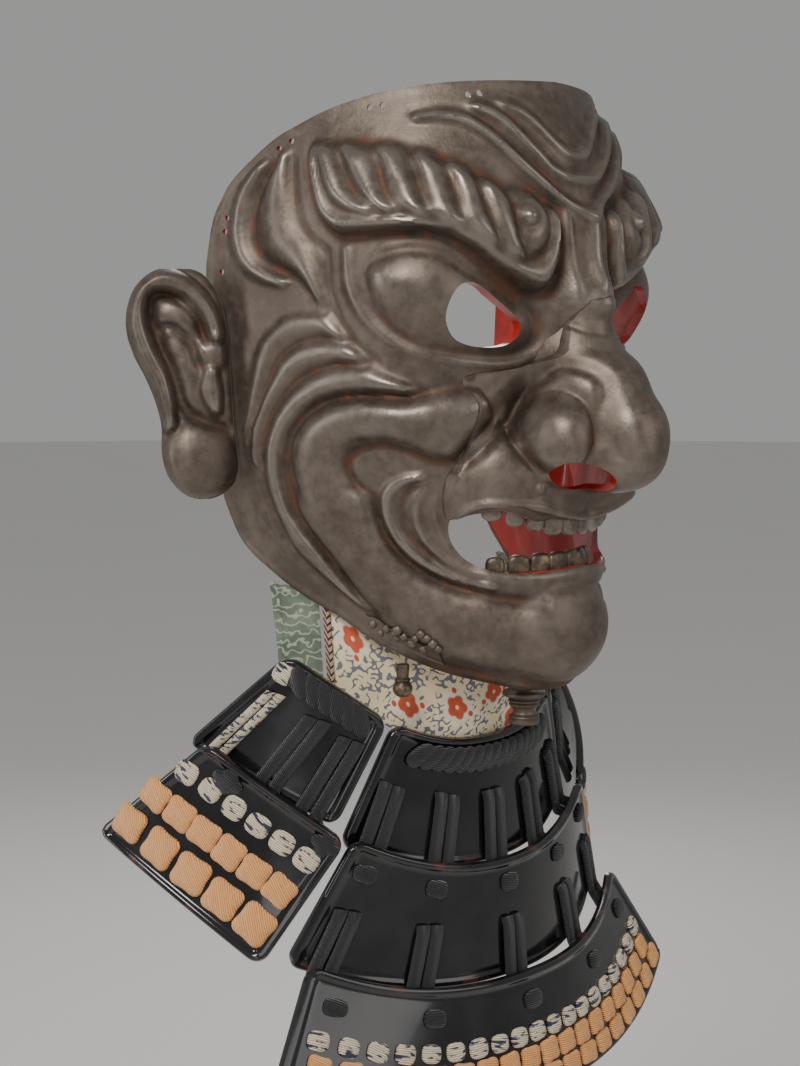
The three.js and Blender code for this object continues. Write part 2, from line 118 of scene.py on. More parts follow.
bpy.ops.mesh.primitive_circle_add(vertices=96, radius=9, fill_type="NGON", location=(0, 0, FLOOR_Z))
floor = bpy.context.object
floor.name = "floor"
floor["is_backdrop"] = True

world = bpy.data.worlds.new("studio")
bpy.context.scene.world = world
world.use_nodes = True
world.node_tree.nodes["Background"].inputs["Color"].default_value = (0.80, 0.80, 0.79, 1)
world.node_tree.nodes["Background"].inputs["Strength"].default_value = 0.42
print("camera, floor and", len(bpy.data.lights), "lamps")

# %% [markdown]
# ## Wiring shaders in few words
#
# Every finish here is a small network of nodes. `node` adds one node, sets what is given as a
# number and links what is given as a socket, so a network reads like a list of sentences.
# Effects that several finishes share are node groups with named inputs and outputs.

# %% shader helpers


def node(tree, kind, props=None, **inputs):
    """Adds a node. i0=, i1= name its inputs by number, Other_Words= by name."""
    made = tree.nodes.new("ShaderNode" + kind)
    for key, value in (props or {}).items():
        setattr(made, key, value)
    for key, value in inputs.items():
        by_number = key[0] == "i" and key[1:].isdigit()
        socket = made.inputs[int(key[1:]) if by_number else key.replace("_", " ")]
        if isinstance(value, bpy.types.NodeSocket):
            tree.links.new(value, socket)
        else:
            socket.default_value = value
    return made


def maths(tree, what, a, b=0.0, c=0.0):
    """One sum on numbers or sockets, named as Blender names it."""
    return node(tree, "Math", {"operation": what}, i0=a, i1=b, i2=c).outputs[0]


def ramp(tree, value, low, high, to_low=0.0, to_high=1.0):
    """Value mapped from low..high to to_low..to_high, eased and held at both ends."""
    return node(tree, "MapRange", {"interpolation_type": "SMOOTHSTEP"}, Value=value, From_Min=low,
                From_Max=high, To_Min=to_low, To_Max=to_high).outputs[0]


def mixed(tree, share, a, b):
    """Colour a with the given share of colour b laid over it."""
    made = node(tree, "Mix", {"data_type": "RGBA"}, i0=share)
    for slot, value in ((6, a), (7, b)):
        if isinstance(value, bpy.types.NodeSocket):
            tree.links.new(value, made.inputs[slot])
        else:
            made.inputs[slot].default_value = (*value, 1)
    return made.outputs[2]


def noise(tree, where, scale, detail=3.0, rough=0.55):
    """Soft noise from 0 to 1."""
    return node(tree, "TexNoise", None, Vector=where, Scale=scale, Detail=detail, Roughness=rough).outputs[0]


def group(name, takes, gives):
    """An empty node group with float inputs (vector where the default is None) and its outputs."""
    tree = bpy.data.node_groups.new(name, "ShaderNodeTree")
    for word, default in takes.items():
        kind = "NodeSocketVector" if default is None else "NodeSocketFloat"
        socket = tree.interface.new_socket(name=word, in_out="INPUT", socket_type=kind)
        if default is not None:
            socket.default_value = default
    for word, kind in gives.items():
        tree.interface.new_socket(name=word, in_out="OUTPUT", socket_type="NodeSocket" + kind)
    return tree, tree.nodes.new("NodeGroupInput").outputs, tree.nodes.new("NodeGroupOutput").inputs


def use(tree, shared, **inputs):
    """Places a shared group in a material."""
    made = tree.nodes.new("ShaderNodeGroup")
    made.node_tree = shared
    for key, value in inputs.items():
        socket = made.inputs[key.replace("_", " ")]
        if isinstance(value, bpy.types.NodeSocket):
            tree.links.new(value, socket)
        else:
            socket.default_value = value
    return made.outputs


def material(name, colour=(0.5, 0.5, 0.5), rough=0.5, **settings):
    """A material with one Principled shader. Returns the material, its tree and the shader."""
    made = bpy.data.materials.new(name)
    made.use_nodes = True
    shader = made.node_tree.nodes["Principled BSDF"]
    shader.inputs["Base Color"].default_value = (*colour, 1)
    shader.inputs["Roughness"].default_value = rough
    for key, value in settings.items():
        shader.inputs[key.replace("_", " ")].default_value = value
    return made, made.node_tree, shader


def relief_map(tree, shader, height, depth_mm, strength=1.0):
    """Feeds a height to the shader's normal; depth_mm is what a height of 1 stands for."""
    bump = node(tree, "Bump", None, Strength=strength, Distance=depth_mm * MM, Height=height)
    tree.links.new(bump.outputs[0], shader.inputs["Normal"])


# %% floor finish
paper, tree, shader = material("pale_floor", (0.80, 0.79, 0.77), 0.7)
grain = noise(tree, node(tree, "TexCoord").outputs["Object"], 3.0)
tree.links.new(mixed(tree, grain, (0.78, 0.77, 0.75), (0.82, 0.81, 0.79)), shader.inputs["Base Color"])
floor.data.materials.append(paper)

# %% [markdown]
# ## Russet iron
#
# The smith rusts the iron on purpose and then stops the rust, which leaves a brown-grey skin.
# Hands have rubbed the ridges until the bare metal shines through, and in the grooves the skin
# stays dark, with a thread of orange rust along the sharpest lines; part of that dark in the
# grooves is painted shade. A plain metal colour would look like plastic here. So the mesh
# carries a value called `wear` at each point, above 0 on a ridge and below 0 in a groove, and
# the shader reads colour and gloss from it and from noise.

# %% iron
iron_skin, takes, gives = group("iron_skin", {"Wear": 0.0},
                                {"Color": "Color", "Roughness": "Float", "Height": "Float"})
spot = node(iron_skin, "TexCoord").outputs["Object"]
cloud = noise(iron_skin, spot, 38, 4.0, 0.6)
mottle = noise(iron_skin, spot, 210, 5.0, 0.65)
pits = noise(iron_skin, spot, 900, 3.0, 0.6)
dents = noise(iron_skin, spot, 95, 2.0, 0.4)
tone = maths(iron_skin, "MULTIPLY_ADD", cloud, 0.55, maths(iron_skin, "MULTIPLY", mottle, 0.45))
skin = mixed(iron_skin, ramp(iron_skin, tone, 0.36, 0.66), (0.104, 0.080, 0.064), (0.182, 0.147, 0.121))
frayed = maths(iron_skin, "MULTIPLY_ADD", maths(iron_skin, "SUBTRACT", mottle, 0.5), 0.5, takes["Wear"])
bright = ramp(iron_skin, frayed, 0.10, 1.25)
skin = mixed(iron_skin, maths(iron_skin, "MULTIPLY", bright, 0.42), skin, (0.30, 0.27, 0.24))
# deep: the skin darkened down in the grooves, partly the dark patina that stays there and partly painted
# shade
deep = ramp(iron_skin, frayed, -0.25, -1.5)
skin = mixed(iron_skin, maths(iron_skin, "MULTIPLY", deep, 0.55), skin, (0.030, 0.021, 0.016))
rust = maths(iron_skin, "MULTIPLY", ramp(iron_skin, takes["Wear"], -0.45, -1.3),
             ramp(iron_skin, noise(iron_skin, spot, 150, 3.0), 0.40, 0.62))
skin = mixed(iron_skin, maths(iron_skin, "MULTIPLY", rust, 0.60), skin, (0.165, 0.070, 0.036))
iron_skin.links.new(skin, gives["Color"])
shine = maths(iron_skin, "MULTIPLY_ADD", bright, -0.14, ramp(iron_skin, mottle, 0.3, 0.75, 0.40, 0.55))
iron_skin.links.new(maths(iron_skin, "MULTIPLY_ADD", deep, 0.2, shine), gives["Roughness"])
fine = maths(iron_skin, "MULTIPLY_ADD", pits, 0.22, maths(iron_skin, "MULTIPLY", mottle, 0.5))
iron_skin.links.new(maths(iron_skin, "MULTIPLY_ADD", dents, 1.4, fine), gives["Height"])

iron, tree, shader = material("russet_iron", (0.1, 0.08, 0.07), 0.42, Metallic=0.72)
outs = use(tree, iron_skin, Wear=node(tree, "Attribute", {"attribute_name": "wear"}).outputs["Fac"])
tree.links.new(outs["Color"], shader.inputs["Base Color"])
tree.links.new(outs["Roughness"], shader.inputs["Roughness"])
relief_map(tree, shader, outs["Height"], 0.28)

red, tree, shader = material("red_lacquer", (0.5, 0.03, 0.02), 0.3, Coat_Weight=0.35, Coat_Roughness=0.15)
spot = node(tree, "TexCoord").outputs["Object"]
patchy = ramp(tree, noise(tree, spot, 60, 4.0), 0.35, 0.65)
tree.links.new(mixed(tree, patchy, (0.27, 0.011, 0.007), (0.46, 0.026, 0.015)), shader.inputs["Base Color"])
relief_map(tree, shader, noise(tree, spot, 220, 2.0), 0.12)
print("iron and red lacquer ready")

# %% [markdown]
# ## Making meshes from grids
#
# Almost every piece is a skin over two grids of points, one for the face that shows and one for
# the back. Grids are quick to fill with numpy, and all relief is worked out before Blender sees
# it. `shell` joins the two grids round their edges into one closed body, and its inner grid may
# have fewer rows, because nobody counts hammer marks inside a mask.

# %% mesh helpers


def make(name, points, faces, materials, slot, stands_for=(), which=None, wear=None, smooth=35):
    """A piece from points in mm. which picks the material of each face, wear feeds the iron."""
    mesh = bpy.data.meshes.new(name)
    mesh.from_pydata((np.asarray(points, float).reshape(-1, 3) * MM).tolist(), [], faces)
    for finish in materials:
        mesh.materials.append(finish)
    if which is not None:
        mesh.polygons.foreach_set("material_index", np.asarray(which, np.int32))
    if wear is not None:
        worn = mesh.attributes.new("wear", "FLOAT", "POINT")
        worn.data.foreach_set("value", np.asarray(wear, np.float32).ravel())
    flow = bmesh.new()
    flow.from_mesh(mesh)
    bmesh.ops.recalc_face_normals(flow, faces=flow.faces)
    flow.to_mesh(mesh)
    flow.free()
    made = bpy.data.objects.new(name, mesh)
    bpy.context.scene.collection.objects.link(made)
    finish_shading(made, smooth)
    if slot:
        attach(made, "root")
    if stands_for:
        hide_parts(*stands_for)
    return made


def finish_shading(thing, smooth):
    """Smooth shading with a crisp line where faces meet at more than smooth degrees."""
    thing.data.polygons.foreach_set("use_smooth", [True] * len(thing.data.polygons))
    thing.data.set_sharp_from_angle(angle=math.radians(smooth))


def quads(rows, cols, first=0, ring=False):
    """Faces of a grid of points stored row by row; ring joins the last column to the first."""
    out = []
    for r in range(rows - 1):
        base = first + r * cols
        for c in range(cols - (0 if ring else 1)):
            d = (c + 1) % cols
            out.append((base + c, base + d, base + cols + d, base + cols + c))
    return out


def shell(outer, inner):
    """Points and faces of a closed skin. outer is (rows, cols, 3); inner has the same columns and
    1 row for every k of the outer ones. Also returns a mark for each face: 0 outer, 1 the rest."""
    rows, cols = outer.shape[:2]
    few = inner.shape[0]
    k = (rows - 1) // (few - 1)
    points = np.concatenate([outer.reshape(-1, 3), inner.reshape(-1, 3)])
    base = rows * cols
    front = quads(rows, cols)
    back = [face[::-1] for face in quads(few, cols, base)]
    rim = []
    for c in range(cols - 1):
        rim.append((c + 1, c, base + c, base + c + 1))
        a, b = (rows - 1) * cols + c, base + (few - 1) * cols + c
        rim.append((a, a + 1, b + 1, b))
    for j in range(few - 1):
        for c, turned in ((0, False), (cols - 1, True)):
            strip = [base + j * cols + c, base + (j + 1) * cols + c]
            strip += [(j * k + i) * cols + c for i in range(k, -1, -1)]
            rim.append(tuple(strip[::-1] if turned else strip))
    faces = front + back + rim
    return points, faces, [0] * len(front) + [1] * (len(back) + len(rim))


def table(xs, ys, x):
    """A smooth curve through a short table of values."""
    xs, ys = np.asarray(xs, float), np.asarray(ys, float)
    slope = np.empty_like(ys)
    slope[1:-1] = (ys[2:] - ys[:-2]) / (xs[2:] - xs[:-2])
    slope[0], slope[-1] = (ys[1] - ys[0]) / (xs[1] - xs[0]), (ys[-1] - ys[-2]) / (xs[-1] - xs[-2])
    x = np.clip(x, xs[0], xs[-1])
    i = np.clip(np.searchsorted(xs, x, side="right") - 1, 0, len(xs) - 2)
    h = xs[i + 1] - xs[i]
    t = (x - xs[i]) / h
    return ((2 * t**3 - 3 * t**2 + 1) * ys[i] + (t**3 - 2 * t**2 + t) * h * slope[i]
            + (3 * t**2 - 2 * t**3) * ys[i + 1] + (t**3 - t**2) * h * slope[i + 1])


# %% [markdown]
# ## Drawing relief with a chasing tool
#
# A chaser draws lines on the sheet and then sinks or raises the metal beside them. The helpers
# below do the same on a height map. A `tube` raises a round ridge along a line, a `crease` sinks
# a groove, and a `fold` fills the area between two grooves and swells it up to a crest line,
# steep on the side where the crest runs close to the groove. Sculpting with brushes can't be
# repeated exactly, and a painted height map would be one fixed drawing, so lines with a few
# points each were chosen: they stay short to read and easy to move.

# %% chasing helpers


def drawn(points, step=1.6):
    """A smooth line through a few points (across, up, anything else), finely divided."""
    p = np.asarray(points, float)
    if len(p) < 3:
        return p
    ends = np.vstack([2 * p[0] - p[1], p, 2 * p[-1] - p[-2]])
    out = []
    for k in range(1, len(ends) - 2):
        a, b, c, d = ends[k - 1:k + 3]
        n = max(1, int(np.hypot(*(c - b)[:2]) / step))
        t = (np.arange(n) / n)[:, None]
        out.append(0.5 * (2 * b + (c - a) * t + (2 * a - 5 * b + 4 * c - d) * t**2
                          + (3 * b - a - 3 * c + d) * t**3))
    return np.vstack(out + [p[-1:]])


def near(spot, line):
    """Distance from every spot to the line, and the line's third value at the nearest point."""
    across, up = spot
    best = np.full(across.shape, 1e9)
    value = np.zeros(across.shape)
    extra = line[:, 2] if line.shape[1] > 2 else np.zeros(len(line))
    for a, b, ea, eb in zip(line[:-1], line[1:], extra[:-1], extra[1:]):
        dx, dy = b[0] - a[0], b[1] - a[1]
        t = np.clip(((across - a[0]) * dx + (up - a[1]) * dy) / (dx * dx + dy * dy + 1e-9), 0, 1)
        d = (across - a[0] - t * dx)**2 + (up - a[1] - t * dy)**2
        closer = d < best
        best = np.where(closer, d, best)
        value = np.where(closer, ea + t * (eb - ea), value)
    return np.sqrt(best), value


def within(spot, ring):
    """True for the spots inside a closed ring of points."""
    across, up = spot
    inside = np.zeros(across.shape, bool)
    for a, b in zip(ring, np.roll(ring, -1, axis=0)):
        crosses = (a[1] > up) != (b[1] > up)
        at = a[0] + (up - a[1]) * (b[0] - a[0]) / (b[1] - a[1] + 1e-12)
        inside ^= crosses & (across < at)
    return inside


def tube(spot, line, high, crown=0.5):
    """A round ridge; the line's third value is its half width. A higher crown is softer."""
    d, half = near(spot, drawn(line))
    return high * np.clip(1 - (d / np.maximum(half, 0.1))**2, 0, 1)**crown


def swell(spot, line, high, wide):
    """A soft rise along a line."""
    return high * np.exp(-(near(spot, drawn(line))[0] / wide)**2)


def crease(spot, line, deep, wide):
    """A groove, to be added to the height."""
    return -deep * np.exp(-(near(spot, drawn(line))[0] / wide)**2)


def closed(*sides):
    """A ring from sides drawn one after the other."""
    ring = np.vstack([drawn(side)[:, :2] for side in sides])
    return np.vstack([ring, ring[:1]])


def fold(spot, crests, ring, high, round_top=0.5, walls=()):
    """Metal swollen up between grooves (the ring and any inner walls) to its crest lines."""
    wall = near(spot, ring)[0]
    for line in walls:
        wall = np.minimum(wall, near(spot, drawn(line))[0])
    crest = np.full(wall.shape, 1e9)
    for line in crests:
        crest = np.minimum(crest, near(spot, drawn(line))[0])
    share = wall / (wall + crest + 1e-9)
    return np.where(within(spot, ring), high * (1 - (1 - share)**2)**round_top, 0)


def flame(spot, crest, ring, high):
    """Like a fold, but it runs out softly where its crest is far from the ring."""
    wall, top = near(spot, ring)[0], near(spot, drawn(crest))[0]
    share = wall / (wall + top + 1e-9)
    return np.where(within(spot, ring), high * (0.3 * share + 0.7 * share**1.6 * (2.6 - 1.6 * share)), 0)


def eased(height, times):
    """The height map rubbed smooth, as emery does."""
    for _ in range(times):
        pad = np.pad(height, 1, mode="edge")
        height = 0.25 * pad[:-2, 1:-1] + 0.5 * pad[1:-1, 1:-1] + 0.25 * pad[2:, 1:-1]
        pad = np.pad(height, 1, mode="edge")
        height = 0.25 * pad[1:-1, :-2] + 0.5 * pad[1:-1, 1:-1] + 0.25 * pad[1:-1, 2:]
    return height


# %% [markdown]
# ## The bare head shape
#
# Before any fold is chased, the sheet is raised to a plain head: half an oval in plan, squared
# out a little at the corners, deepest at the brows. Places on it are given as an angle from
# straight ahead and a height. Distances between lines are measured along the sheet, so the angle
# is turned into an arc length first.

# %% head shape
HEIGHTS = [-140, -120, -90, -60, -30, 0, 30, 60, 95]
HALF_WIDTH = [50, 58, 69, 76, 80, 82, 82, 79, 72]
DEPTH = [116, 120, 121, 118, 116, 117, 124, 120, 108]
CORNER_HEIGHTS = [-95, -75, -55, -35, 0, 30, 50, 70, 90]
CORNER = [0, 2, 6, 9, 11, 11, 8, 4, 1]
SIDE = 85.3                    # angle of the rim beside the ears
RIM_TOP = ([0, 30, 45, 55, 60, 65, 70, 75, 80, 82.3, 84, 85.3],
           [87, 85, 82, 78, 75, 71, 66.5, 59.5, 51, 44, 37, 22])
RIM_LOW = ([0, 13, 20, 30, 40, 48, 57, 64, 69, 74, 78, 81, 83.5, 85.3],
           [-137, -136.5, -135, -132, -128.5, -124, -117, -108, -103, -97, -91, -86, -79, -66])


def head(deg, z):
    """Points of the plain head, for arrays of angle and height; the right side is minus."""
    a = np.abs(deg)
    c = table(CORNER_HEIGHTS, CORNER, z) * np.exp(-((a - 40) / 20)**2)
    x = table(HEIGHTS, HALF_WIDTH, z) * np.sin(np.radians(a)) + 0.74 * c
    y = -(table(HEIGHTS, DEPTH, z) * np.cos(np.radians(a)) + 0.67 * c)
    return np.stack([np.where(deg < 0, -x, x), y, z + 0 * x], -1)


PER_DEGREE, WIDENING = 1.42, 0.0041      # mm of sheet per degree ahead, and its growth


def arc(deg):
    """Length along the sheet, in mm, from the middle of the face to an angle."""
    return PER_DEGREE * deg + WIDENING * deg * deg


def angle(length):
    """The angle at a length along the sheet."""
    return (np.sqrt(PER_DEGREE**2 + 4 * WIDENING * length) - PER_DEGREE) / (2 * WIDENING)


def laid(points):
    """A line given as (angle, height, ...) with its angle turned into arc length."""
    return [(arc(p[0]), *p[1:]) for p in points]


print("rim arc length, mm:", round(float(2 * arc(SIDE)), 1))

# %% [markdown]
# ## The folds of the face
#
# These are the chased lines of one half of the face, each as (millimetres along the sheet from
# the middle, height) and, for a ridge, its half width; those inside laid() start with an angle.
# The brow is a broad plateau with a steep lower edge. On it lie a smooth band below and a rope of
# twisted hair above, which curls up at its inner end. Three crescents wrap the cheek bone, a
# thick roll runs out from the nose, and more folds follow the jaw and mouth.

# %% brow lines
BROW_LOW = [(104, 62.4), (103.6, 53.9), (101.8, 46), (98.9, 37.4), (93.6, 31.7), (89.3, 30.4), (82, 30.6),
            (71.4, 31.1), (63.6, 31.1), (57, 30.3), (51.4, 28.1), (45.7, 24.6), (40, 20.3), (34.3, 16.4),
            (28.6, 13.1), (22.9, 10.3), (17.9, 10.3), (15, 14.6), (13.5, 21.7), (13, 29), (13, 36),
            (15, 40.5)]
BAND_TOP = [(100, 63), (98, 57.4), (96.2, 50.3), (93.6, 43.5), (88.6, 38.9), (82, 36.9), (75.7, 36.8),
            (68.6, 37.2), (61, 35.2), (55.7, 33.5), (50, 31.6), (45, 28.8), (39, 25.2), (35.5, 22.5),
            (31.4, 20.8), (25.7, 20.8), (21.3, 23.4), (19, 29), (18.7, 36), (20.2, 42)]
BAND_MIDDLE = [(102, 62), (101, 54), (99, 46.5), (96.2, 40), (91, 35), (82, 33.8), (71.4, 34.4), (60, 33.2),
               (51.5, 30), (45, 26.6), (38.6, 22.4), (33, 19), (26, 16), (20, 16.2), (17, 20), (16, 27),
               (15.8, 35)]
ROPE_TOP = [(102.9, 65.3), (98.6, 63.9), (93, 62.4), (91, 63.2), (86, 63), (80, 61.3), (78.5, 62), (74, 62.2),
            (69, 60.5), (66.8, 58.4), (65.3, 59.4), (61, 59.2), (57.5, 57), (55.4, 55.4), (53.5, 56.3),
            (49, 54.3), (45.5, 51.5), (43.9, 49), (42, 49.9), (38.5, 48.6), (35.5, 46.5), (34, 45.2),
            (31, 45.9), (28, 45.8), (24, 44.8), (20.5, 42.3)]
STRANDS = [
    [(97.9, 62.1), (95, 56), (92.2, 49), (88.2, 43.8), (83.2, 40.2), (79.2, 38.6)],
    [(89.3, 62.1), (85.4, 57.4), (82, 51.7), (79.5, 46), (75.7, 41), (71.8, 38.3)],
    [(75.7, 61.4), (72, 56), (70, 51.7), (68.4, 48.5), (66.3, 43.9), (63.9, 40.3), (61.2, 37.6)],
    [(62.9, 58.5), (60, 54.6), (58.3, 49), (56.7, 43.1), (55.1, 39.4), (53.1, 36), (51.5, 33.8)],
    [(51.5, 54.6), (49.2, 51), (47.3, 46), (46.2, 39.6), (44.9, 34.6), (42.6, 31), (40.7, 28.4)],
    [(41.8, 48.9), (38.9, 46), (37.1, 40.3), (36, 34.6), (34.3, 30.3), (31.4, 26.2), (28.6, 24)]]
STRAND_GAPS = [
    [(92.1, 62.8), (89.5, 57.4), (86.2, 49), (82.1, 43.1), (77, 38.6), (73, 36.8)],
    [(79.6, 61.8), (76.2, 54.6), (74.3, 46), (71.4, 40.3), (67.5, 36.9)],
    [(66.8, 58.8), (64.3, 50.3), (62.9, 43.1), (60.4, 37), (57.5, 34.2)],
    [(55.4, 55.8), (53.7, 50.3), (52.5, 43.1), (51.6, 36.7), (48.5, 31)],
    [(43.9, 49.4), (43.5, 43.1), (42.2, 37.4), (40.4, 31.7), (37.8, 25)],
    [(34, 45.6), (33, 40.3), (32.3, 35), (31, 30), (28, 25.5), (24, 23), (20.5, 25)]]
KNOB = (26.0, 33.9)           # middle of the curled end

# %% forehead, temple and eye lines
FOREHEAD = [[laid(line) for line in lines] for lines in (
    ([(0, 62), (4, 64), (8, 69), (11, 73.5), (14, 76.8), (19, 78.8)],
     [(0, 60), (2, 60.5), (5, 62.5), (9, 68), (12, 72.3), (15, 75.5), (20, 78)],
     [(0, 56.5), (5, 57.5), (10, 64.6), (15, 71), (18, 74), (22, 77.4)]),
    ([(0, 53.5), (5, 53.8), (8, 55.3), (11, 59.5), (15, 66), (18, 71.5), (21, 75.3), (25, 78)],
     [(0, 51.3), (3, 51.5), (6, 52.5), (10, 57.4), (15, 64.3), (20, 71.4), (23, 74.5), (28, 77)],
     [(0, 48.2), (5, 49), (10, 52.4), (15, 58), (20, 65.6), (25, 71.7), (30, 75.8)]),
    ([(0, 40.3), (5, 43.5), (10, 48.9), (15, 55.3), (20, 62.4), (23, 67), (26.5, 71.4), (30, 73.9),
      (35, 74.8), (41, 73.2)],
     [(0, 38.7), (5, 42.1), (10, 47), (15, 52.8), (20, 60), (25, 67.4), (28, 70.8), (30, 72.3), (35, 73.5),
      (41, 72)],
     [(0, 33), (4, 37), (8, 41), (15, 47), (20, 53.5), (25, 62), (30, 67.6), (35, 69.8), (41, 70.5)]))]
GLABELLA = [laid(line) for line in (
    [(6.6, 38, 1.8), (6.8, 34, 2.6), (6.6, 27, 3.4), (6.2, 20, 3.4), (6, 13, 3), (6.5, 7, 2)],
    [(0, 36, 1.6), (0, 33, 2.4), (0, 27, 3.6), (0, 20, 3), (0, 13, 1.6)])]
TEMPLE_RIDGE = laid([(73, 56, 2.4), (76.5, 47, 4.2), (77.8, 37, 4.8), (77.3, 28, 4.8), (75, 20.5, 4.2),
                     (71, 16, 3.4), (67, 13.5, 2)])
TEMPLE_GROOVE = laid([(70.3, 57), (72.3, 51), (74, 43.5), (74.8, 36), (74, 27.5), (72, 23), (69.5, 19.3),
                      (66.5, 17), (64, 15), (62, 11.5), (60, 7.5), (58, 4.2)])
INNER_GROOVE = laid([(66.2, 59), (65.9, 50.5), (65.4, 43.5), (64.5, 36.5), (63, 31), (60.5, 27.5),
                     (58.7, 25)])
LEAF = laid([(67.8, 60, 2), (69, 50, 5.5), (69.5, 40, 7.5), (68.5, 31, 8), (65, 24, 7), (62, 17, 4.6),
             (60, 10, 2.6), (58.4, 4, 1.2)])
OUTER_EYE_GROOVE = laid([(58.7, 24), (58, 17), (57.3, 11), (55.6, 4), (53.8, -2), (52, -6.5),
                         (50, -10), (48.5, -12), (46, -15)])
EYEBALL = laid([(50, 17.5), (49.3, 13), (47.5, 6), (44.5, -1), (41.5, -6), (38, -9), (33, -10.8),
                (27, -12.2), (20, -13.2), (15, -12), (12, -8), (11.5, -2), (13, 3), (16.5, 6.3), (21, 10),
                (26, 14), (30, 17.5), (33.5, 21.5), (37, 24), (41, 24.8), (44.5, 23.9), (47.5, 21.8),
                (49.6, 19.5), (50, 17.5)])
UNDER_EYE = [(89.6, 26, 1.8), (88, 17, 2.8), (86, 11, 3.2), (82.5, 5, 3.2), (77.5, -1, 3.2), (72, -5.8, 3.2),
             (65, -9.8, 3), (58, -12.2, 2.8), (50, -13.9, 2.8), (41, -15.2, 2.8), (30, -15.8, 2.6),
             (21, -14.2, 2.4), (14, -9.5, 2.2), (12, -2, 2), (13.2, 5, 1.4)]

# %% cheek lines
CHEEK_EDGE = laid([(57, 2.7), (61.7, 3), (64.7, 2.6), (66.8, 1), (69.3, -2.5), (71.8, -7.5), (73.5, -13),
                   (74.6, -20), (76, -33), (77.3, -39), (78, -45), (77.7, -58.5), (77.3, -69.5),
                   (76.5, -76), (75.5, -83), (73.6, -90), (70.4, -98), (66, -104)])
CHEEK_GROOVES = [laid(line) for line in (
    [(52.4, -8), (57.7, -6.3), (60, -7), (62.7, -8), (65.5, -10.8), (68, -15), (69.7, -21), (71.8, -27),
     (73.3, -33), (75.3, -39.3), (76, -45), (76.7, -51)],
    [(48.7, -15.7), (55.2, -16), (57.9, -17), (60.6, -19), (63.3, -21.5), (65.5, -24.8), (68, -29.5),
     (70, -34.3), (71.3, -39), (73, -45), (73.6, -51), (73.8, -57.5), (73.3, -67.3), (72, -76.7),
     (70.4, -85.6), (67, -93.3), (62.9, -100), (59, -106)],
    [(37, -26), (41, -27.3), (45.4, -27), (50, -27), (53.7, -27.6), (57, -29), (60, -31.5),
     (62.3, -34.5), (64.7, -38.2), (66.8, -42.5), (68, -47.5), (68.7, -51), (69, -60), (68.3, -70),
     (66.7, -76.5), (64.5, -83), (62.4, -88.5), (60.5, -94), (58.7, -99), (56.3, -104.5), (53.5, -110)])]
CHEEK_CRESTS = [laid(line) for line in (
    [(53, -8), (56.8, -2.3), (60.6, -0.8), (64, -1.8), (67, -4.5), (69.8, -9), (71.5, -15), (72.5, -22),
     (74.3, -31), (76.2, -40), (77, -47)],
    [(50, -13), (55, -11.5), (60, -12.5), (63.5, -14.8), (66.3, -18.5), (69, -25), (71.5, -32),
     (73.6, -39), (74.8, -46), (75.4, -53), (75.4, -60), (75, -66), (74.2, -74), (73.3, -82),
     (71.5, -90), (68.5, -96), (65, -101.5)],
    [(34, -22.5), (38, -23.5), (42, -23), (46, -22.6), (50, -22), (54, -22.4), (58, -24.2), (62, -28),
     (65.5, -32.5), (68, -38), (69.9, -45), (70.9, -52), (71, -58), (70.6, -65), (69.5, -72),
     (67.5, -80), (65, -87), (62.8, -94), (61, -99.5), (58.3, -105.5), (55.5, -111)])]
ROLL_TOP = laid([(25, -25), (31, -24.5), (37, -26.5), (41, -27.8), (45.4, -27.6), (50, -27.6), (53.7, -28.2),
                 (57, -29.8), (60, -32.5), (62.3, -35.5), (64.2, -39.5), (65.8, -44), (66.6, -50),
                 (66.4, -57)])
ROLL_LOW = [(82.5, -64), (88, -60), (90.5, -55), (89.5, -50), (86, -47), (80, -45), (72, -45), (66, -46.5),
            (58, -50), (51, -51), (46, -48.5), (40, -42), (33, -35)]
ROLL_CREST = [(36, -29.5), (44, -33), (52, -34.8), (62, -35.6), (74, -35.6), (86, -35.8), (94, -38.5),
              (100.5, -43.5), (103.5, -51), (104, -60), (102.5, -68), (98.5, -77)]
JAW_OUTER = laid([(66, -62), (67, -69), (65.8, -76.5), (63.6, -83), (61.5, -89), (59.5, -95.5), (57.5, -103),
                  (54, -112), (48, -121.5), (40, -127.5), (28, -131), (14, -133)])
JAW_INNER = laid([(12, -104), (20, -103), (29.8, -100), (34.5, -98.5), (39, -96), (42.7, -92.5), (46, -88),
                  (48.7, -81.5), (50, -74), (50.5, -66)])
JAW_CREST = [(98.5, -77), (93.3, -86), (88.9, -92.2), (83.5, -99.5), (77.8, -106.7),
             (72, -112), (66.7, -116.3), (58, -119), (44, -119.5), (26, -119)]
MOUTH_FOLD = laid([(39, -56.5, 1.5), (43, -58, 2), (46.3, -61.5, 2.3), (47.8, -66.5, 2.6), (47.8, -73, 2.7),
                   (46.5, -80, 2.7), (43.8, -86, 2.5), (40.3, -90.5, 2.1), (36, -94, 1.7), (31, -96.3, 1.3),
                   (26, -97.3, 0.9)])
MOUTH_FOLD_IN = laid([(38.5, -60.5, 1.4), (40.5, -64, 2), (41.6, -69, 2.1), (41.6, -75, 2.1),
                      (40.5, -81, 2.1), (38, -86, 2), (34.5, -90, 2), (30, -93.3, 1.5)])
MOUTH_GROOVE = laid([(40, -59), (42.5, -61.8), (44.3, -66), (44.7, -72), (43.8, -78), (41.8, -83),
                     (39, -87)])
MOUTH_RIM = laid([(36.8, -64, 1.3), (37.8, -70, 1.6), (37.2, -77, 1.6), (35.6, -83.5, 1.6), (33, -89, 1.6),
                  (29.6, -92, 1.6), (25, -93.5, 1.7), (18, -94, 1.7), (9, -93.8, 1.7), (0, -93.2, 1.7)])


# %% the whole relief of one half


